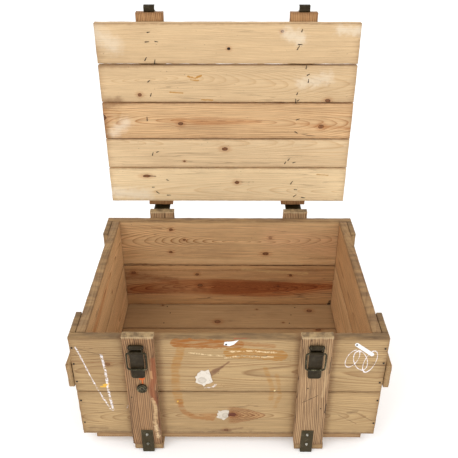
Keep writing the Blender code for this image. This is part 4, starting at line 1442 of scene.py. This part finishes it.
# %% [markdown]
# ## Scraps on the front
# Two lumps of old plaster, a torn paper wedge and a slip of card are still stuck to the front boards.
# Each starts as a circle with as many corners as its outline needs; the corners are moved to the outline,
# the face is extruded outwards, and a displace modifier makes the surface lumpy.

# %% Scraps
def plaster_material(name, base, dirty, ring=None):
    """Old plaster or card; ring is the place of a grey-brown ring, as across, up and radius."""
    material, b, shader = new_material(name)
    place = b.node("ShaderNodeTexCoord").outputs["Object"]
    cloud = b.noise(place, (130, 130, 130), 4.0, 0.65)
    fine = b.noise(place, (700, 700, 700), 3.0, 0.6)
    colour = b.mix(b.times(b.fade(cloud, 0.50, 0.72), 0.6), base, dirty)
    colour = b.mix(b.times(b.fade(fine, 0.58, 0.70), 0.25), colour, tint("8b7a68"))
    if ring:
        across, up, radius = ring
        x, y, z = b.split(place)
        reach = b.vector("LENGTH", b.join(b.minus(x, across * MM), 0.0,
                                          b.minus(z, up * MM)))
        reach = b.plus(reach, b.swing(cloud, 0.008))
        inside = b.fade(reach, (radius + 2) * MM, (radius - 1) * MM)
        colour = b.mix(b.times(inside, 0.30), colour, tint("a89a88"))
        rim = b.fade(b.math("ABSOLUTE", b.minus(reach, radius * MM)), 0.0024, 0.0004)
        colour = b.mix(b.times(rim, 0.22), colour, tint("8b7a66"))
    b.plug(shader.inputs["Base Color"], colour)
    b.plug(shader.inputs["Roughness"], b.plus(0.75, b.times(fine, 0.2)))
    b.bump(shader, b.plus(cloud, fine), 0.6, 0.0006)
    return material


PLASTER_UPPER = plaster_material("old plaster upper", tint("dcd2c4"), tint("a89987"), ring=(-62, 222, 9))
PLASTER_LOWER = plaster_material("old plaster lower", tint("cfc4b4"), tint("94846f"), ring=(-7, 105, 8))
CARD = plaster_material("card slip", tint("f1f0ef"), tint("cfccc6"))
LUMPS = bpy.data.textures.new("plaster lumps", "CLOUDS")
LUMPS.noise_scale = 0.009


def model_scrap(name, outline, thick, material, lumps=0.0):
    """A flake on the front wall with the given outline, in millimetres across and up."""
    scrap = start(bpy.ops.mesh.primitive_circle_add, vertices=len(outline), radius=0.01, fill_type="NGON")
    for vertex, (x, z) in zip(scrap.data.vertices, outline):
        vertex.co = (x * MM, FRONT_FACE + 0.3 * MM, z * MM)
    bpy.ops.object.mode_set(mode="EDIT")
    bpy.ops.mesh.select_all(action="SELECT")
    bpy.ops.mesh.extrude_region_move(TRANSFORM_OT_translate={"value": (0, -(thick + 0.3) * MM, 0)})
    bpy.ops.mesh.inset(thickness=0.8 * MM, depth=0)
    bpy.ops.mesh.quads_convert_to_tris()
    bpy.ops.mesh.subdivide(number_cuts=3)
    bpy.ops.mesh.select_all(action="SELECT")
    bpy.ops.mesh.normals_make_consistent(inside=False)
    leave_edit()
    if lumps:
        lump = scrap.modifiers.new("lumps", "DISPLACE")
        lump.texture = LUMPS
        lump.texture_coords = "LOCAL"
        lump.mid_level = 0.5
        lump.strength = lumps * MM
        apply_all(scrap)
    settle(scrap, name)
    bpy.ops.object.shade_smooth_by_angle(angle=math.radians(50))
    dress(scrap, "crate_body", "wall_wood", material)
    print(name, len(scrap.data.polygons), "faces")
    return scrap


# outlines of the scraps, across and up in millimetres
UPPER_LUMP = [(-72, 243), (-66, 247), (-64, 252), (-55, 250), (-46, 255), (-44, 247), (-42, 240), (-40, 228),
              (-37, 217), (-44, 212), (-52, 210), (-58, 202), (-62, 208), (-70, 211), (-77, 216), (-75, 225),
              (-78, 232), (-73, 236)]
LOWER_LUMP = [(-26, 121), (-20, 119), (-14, 122), (-6, 123), (1, 121), (0, 113), (-2, 106), (-1, 100),
              (-6, 95), (-12, 88), (-18, 93), (-25, 96), (-30, 99), (-26, 105), (-28, 110), (-24, 115)]
TORN_WEDGE = [(-11, 329), (-9, 338), (6, 339), (22, 343), (12, 331), (2, 326)]
model_scrap("plaster_lump_upper", UPPER_LUMP, 1.5, PLASTER_UPPER, 0.9)
model_scrap("plaster_lump_lower", LOWER_LUMP, 1.2, PLASTER_LOWER, 0.8)
model_scrap("paper_wedge", TORN_WEDGE, 0.5, CARD)

# the slip of card is a straight band with two round ends
SLIP_START, SLIP_END, SLIP_WIDTH = (287, 331), (324, 302), 9.5
run = Vector((SLIP_END[0] - SLIP_START[0], SLIP_END[1] - SLIP_START[1]))
across = Vector((-run.y, run.x)).normalized() * SLIP_WIDTH / 2
slip = []
for end, sign in ((SLIP_START, -1), (SLIP_END, 1)):
    for i in range(7):
        angle = math.pi * (i / 6 - 0.5)
        out = run.normalized() * math.cos(angle) * SLIP_WIDTH / 2 * sign
        side_step = across * math.sin(angle) * sign
        slip.append((end[0] + out.x + side_step.x, end[1] + out.y + side_step.y))
model_scrap("card_slip", slip, 0.6, CARD)
places = [(-0.0055, FRONT_FACE - 0.5 * MM, 0.331), (0.287, FRONT_FACE - 0.6 * MM, 0.3305)]
spread(model_head(2.2, 0.9), places, TO_FRONT, "scrap_nails")

# %% [markdown]
# ## Floor, light and camera
# A plain pale floor and a bright even sky keep the eye on the wood. The sky gives the soft light from all
# round, and one large lamp from the upper left gives the boards a lit and a shaded side.

# %% Floor
floor = start(bpy.ops.mesh.primitive_plane_add, size=14, location=(0, 0, -0.0005))
floor.name = "pale_floor"
paper, _, shader = new_material("pale paper")
shader.inputs["Base Color"].default_value = (0.92, 0.92, 0.92, 1)
shader.inputs["Roughness"].default_value = 0.9
shader.inputs["Emission Color"].default_value = (1, 1, 1, 1)
shader.inputs["Emission Strength"].default_value = 0.22
floor.data.materials.append(paper)
floor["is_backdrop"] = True
print("the floor is", round(floor.dimensions.x), "m wide")

# %% Sky and lamps
world = bpy.data.worlds.new("soft sky")
world.use_nodes = True
sky = world.node_tree.nodes["Background"]
sky.inputs["Color"].default_value = (1, 1, 1, 1)
sky.inputs["Strength"].default_value = 1.0
bpy.context.scene.world = world


def add_softbox(name, place, target, size, power):
    lamp = start(bpy.ops.object.light_add, type="AREA", location=place)
    lamp.name = name
    lamp.data.size = size
    lamp.data.energy = power
    lamp.rotation_euler = (Vector(target) - Vector(place)).to_track_quat("-Z", "Y").to_euler()


add_softbox("key_light", (-1.6, -2.0, 3.0), (0, 0, 0.3), 1.6, 30)
add_softbox("fill_light", (2.4, -1.8, 1.8), (0, 0, 0.4), 2.0, 14)
print("two lamps and the sky")

# %% Camera
CAMERA_PLACE = (0.0050, -1.3204, 1.2553)
CAMERA_DOWN = 31.0              # degrees below level
CAMERA_ASIDE = 0.228            # degrees to the left
camera = start(bpy.ops.object.camera_add, location=CAMERA_PLACE,
               rotation=(math.radians(90 - CAMERA_DOWN), 0, math.radians(CAMERA_ASIDE)))
camera.data.lens = 48.02
camera.data.sensor_width = 36
bpy.context.scene.camera = camera
bpy.context.scene.view_settings.view_transform = "Standard"
print("camera is", round((Vector(CAMERA_PLACE) - Vector((0, 0, 0.4))).length, 2), "m from the crate")

# %% Close the lesson
low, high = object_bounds()
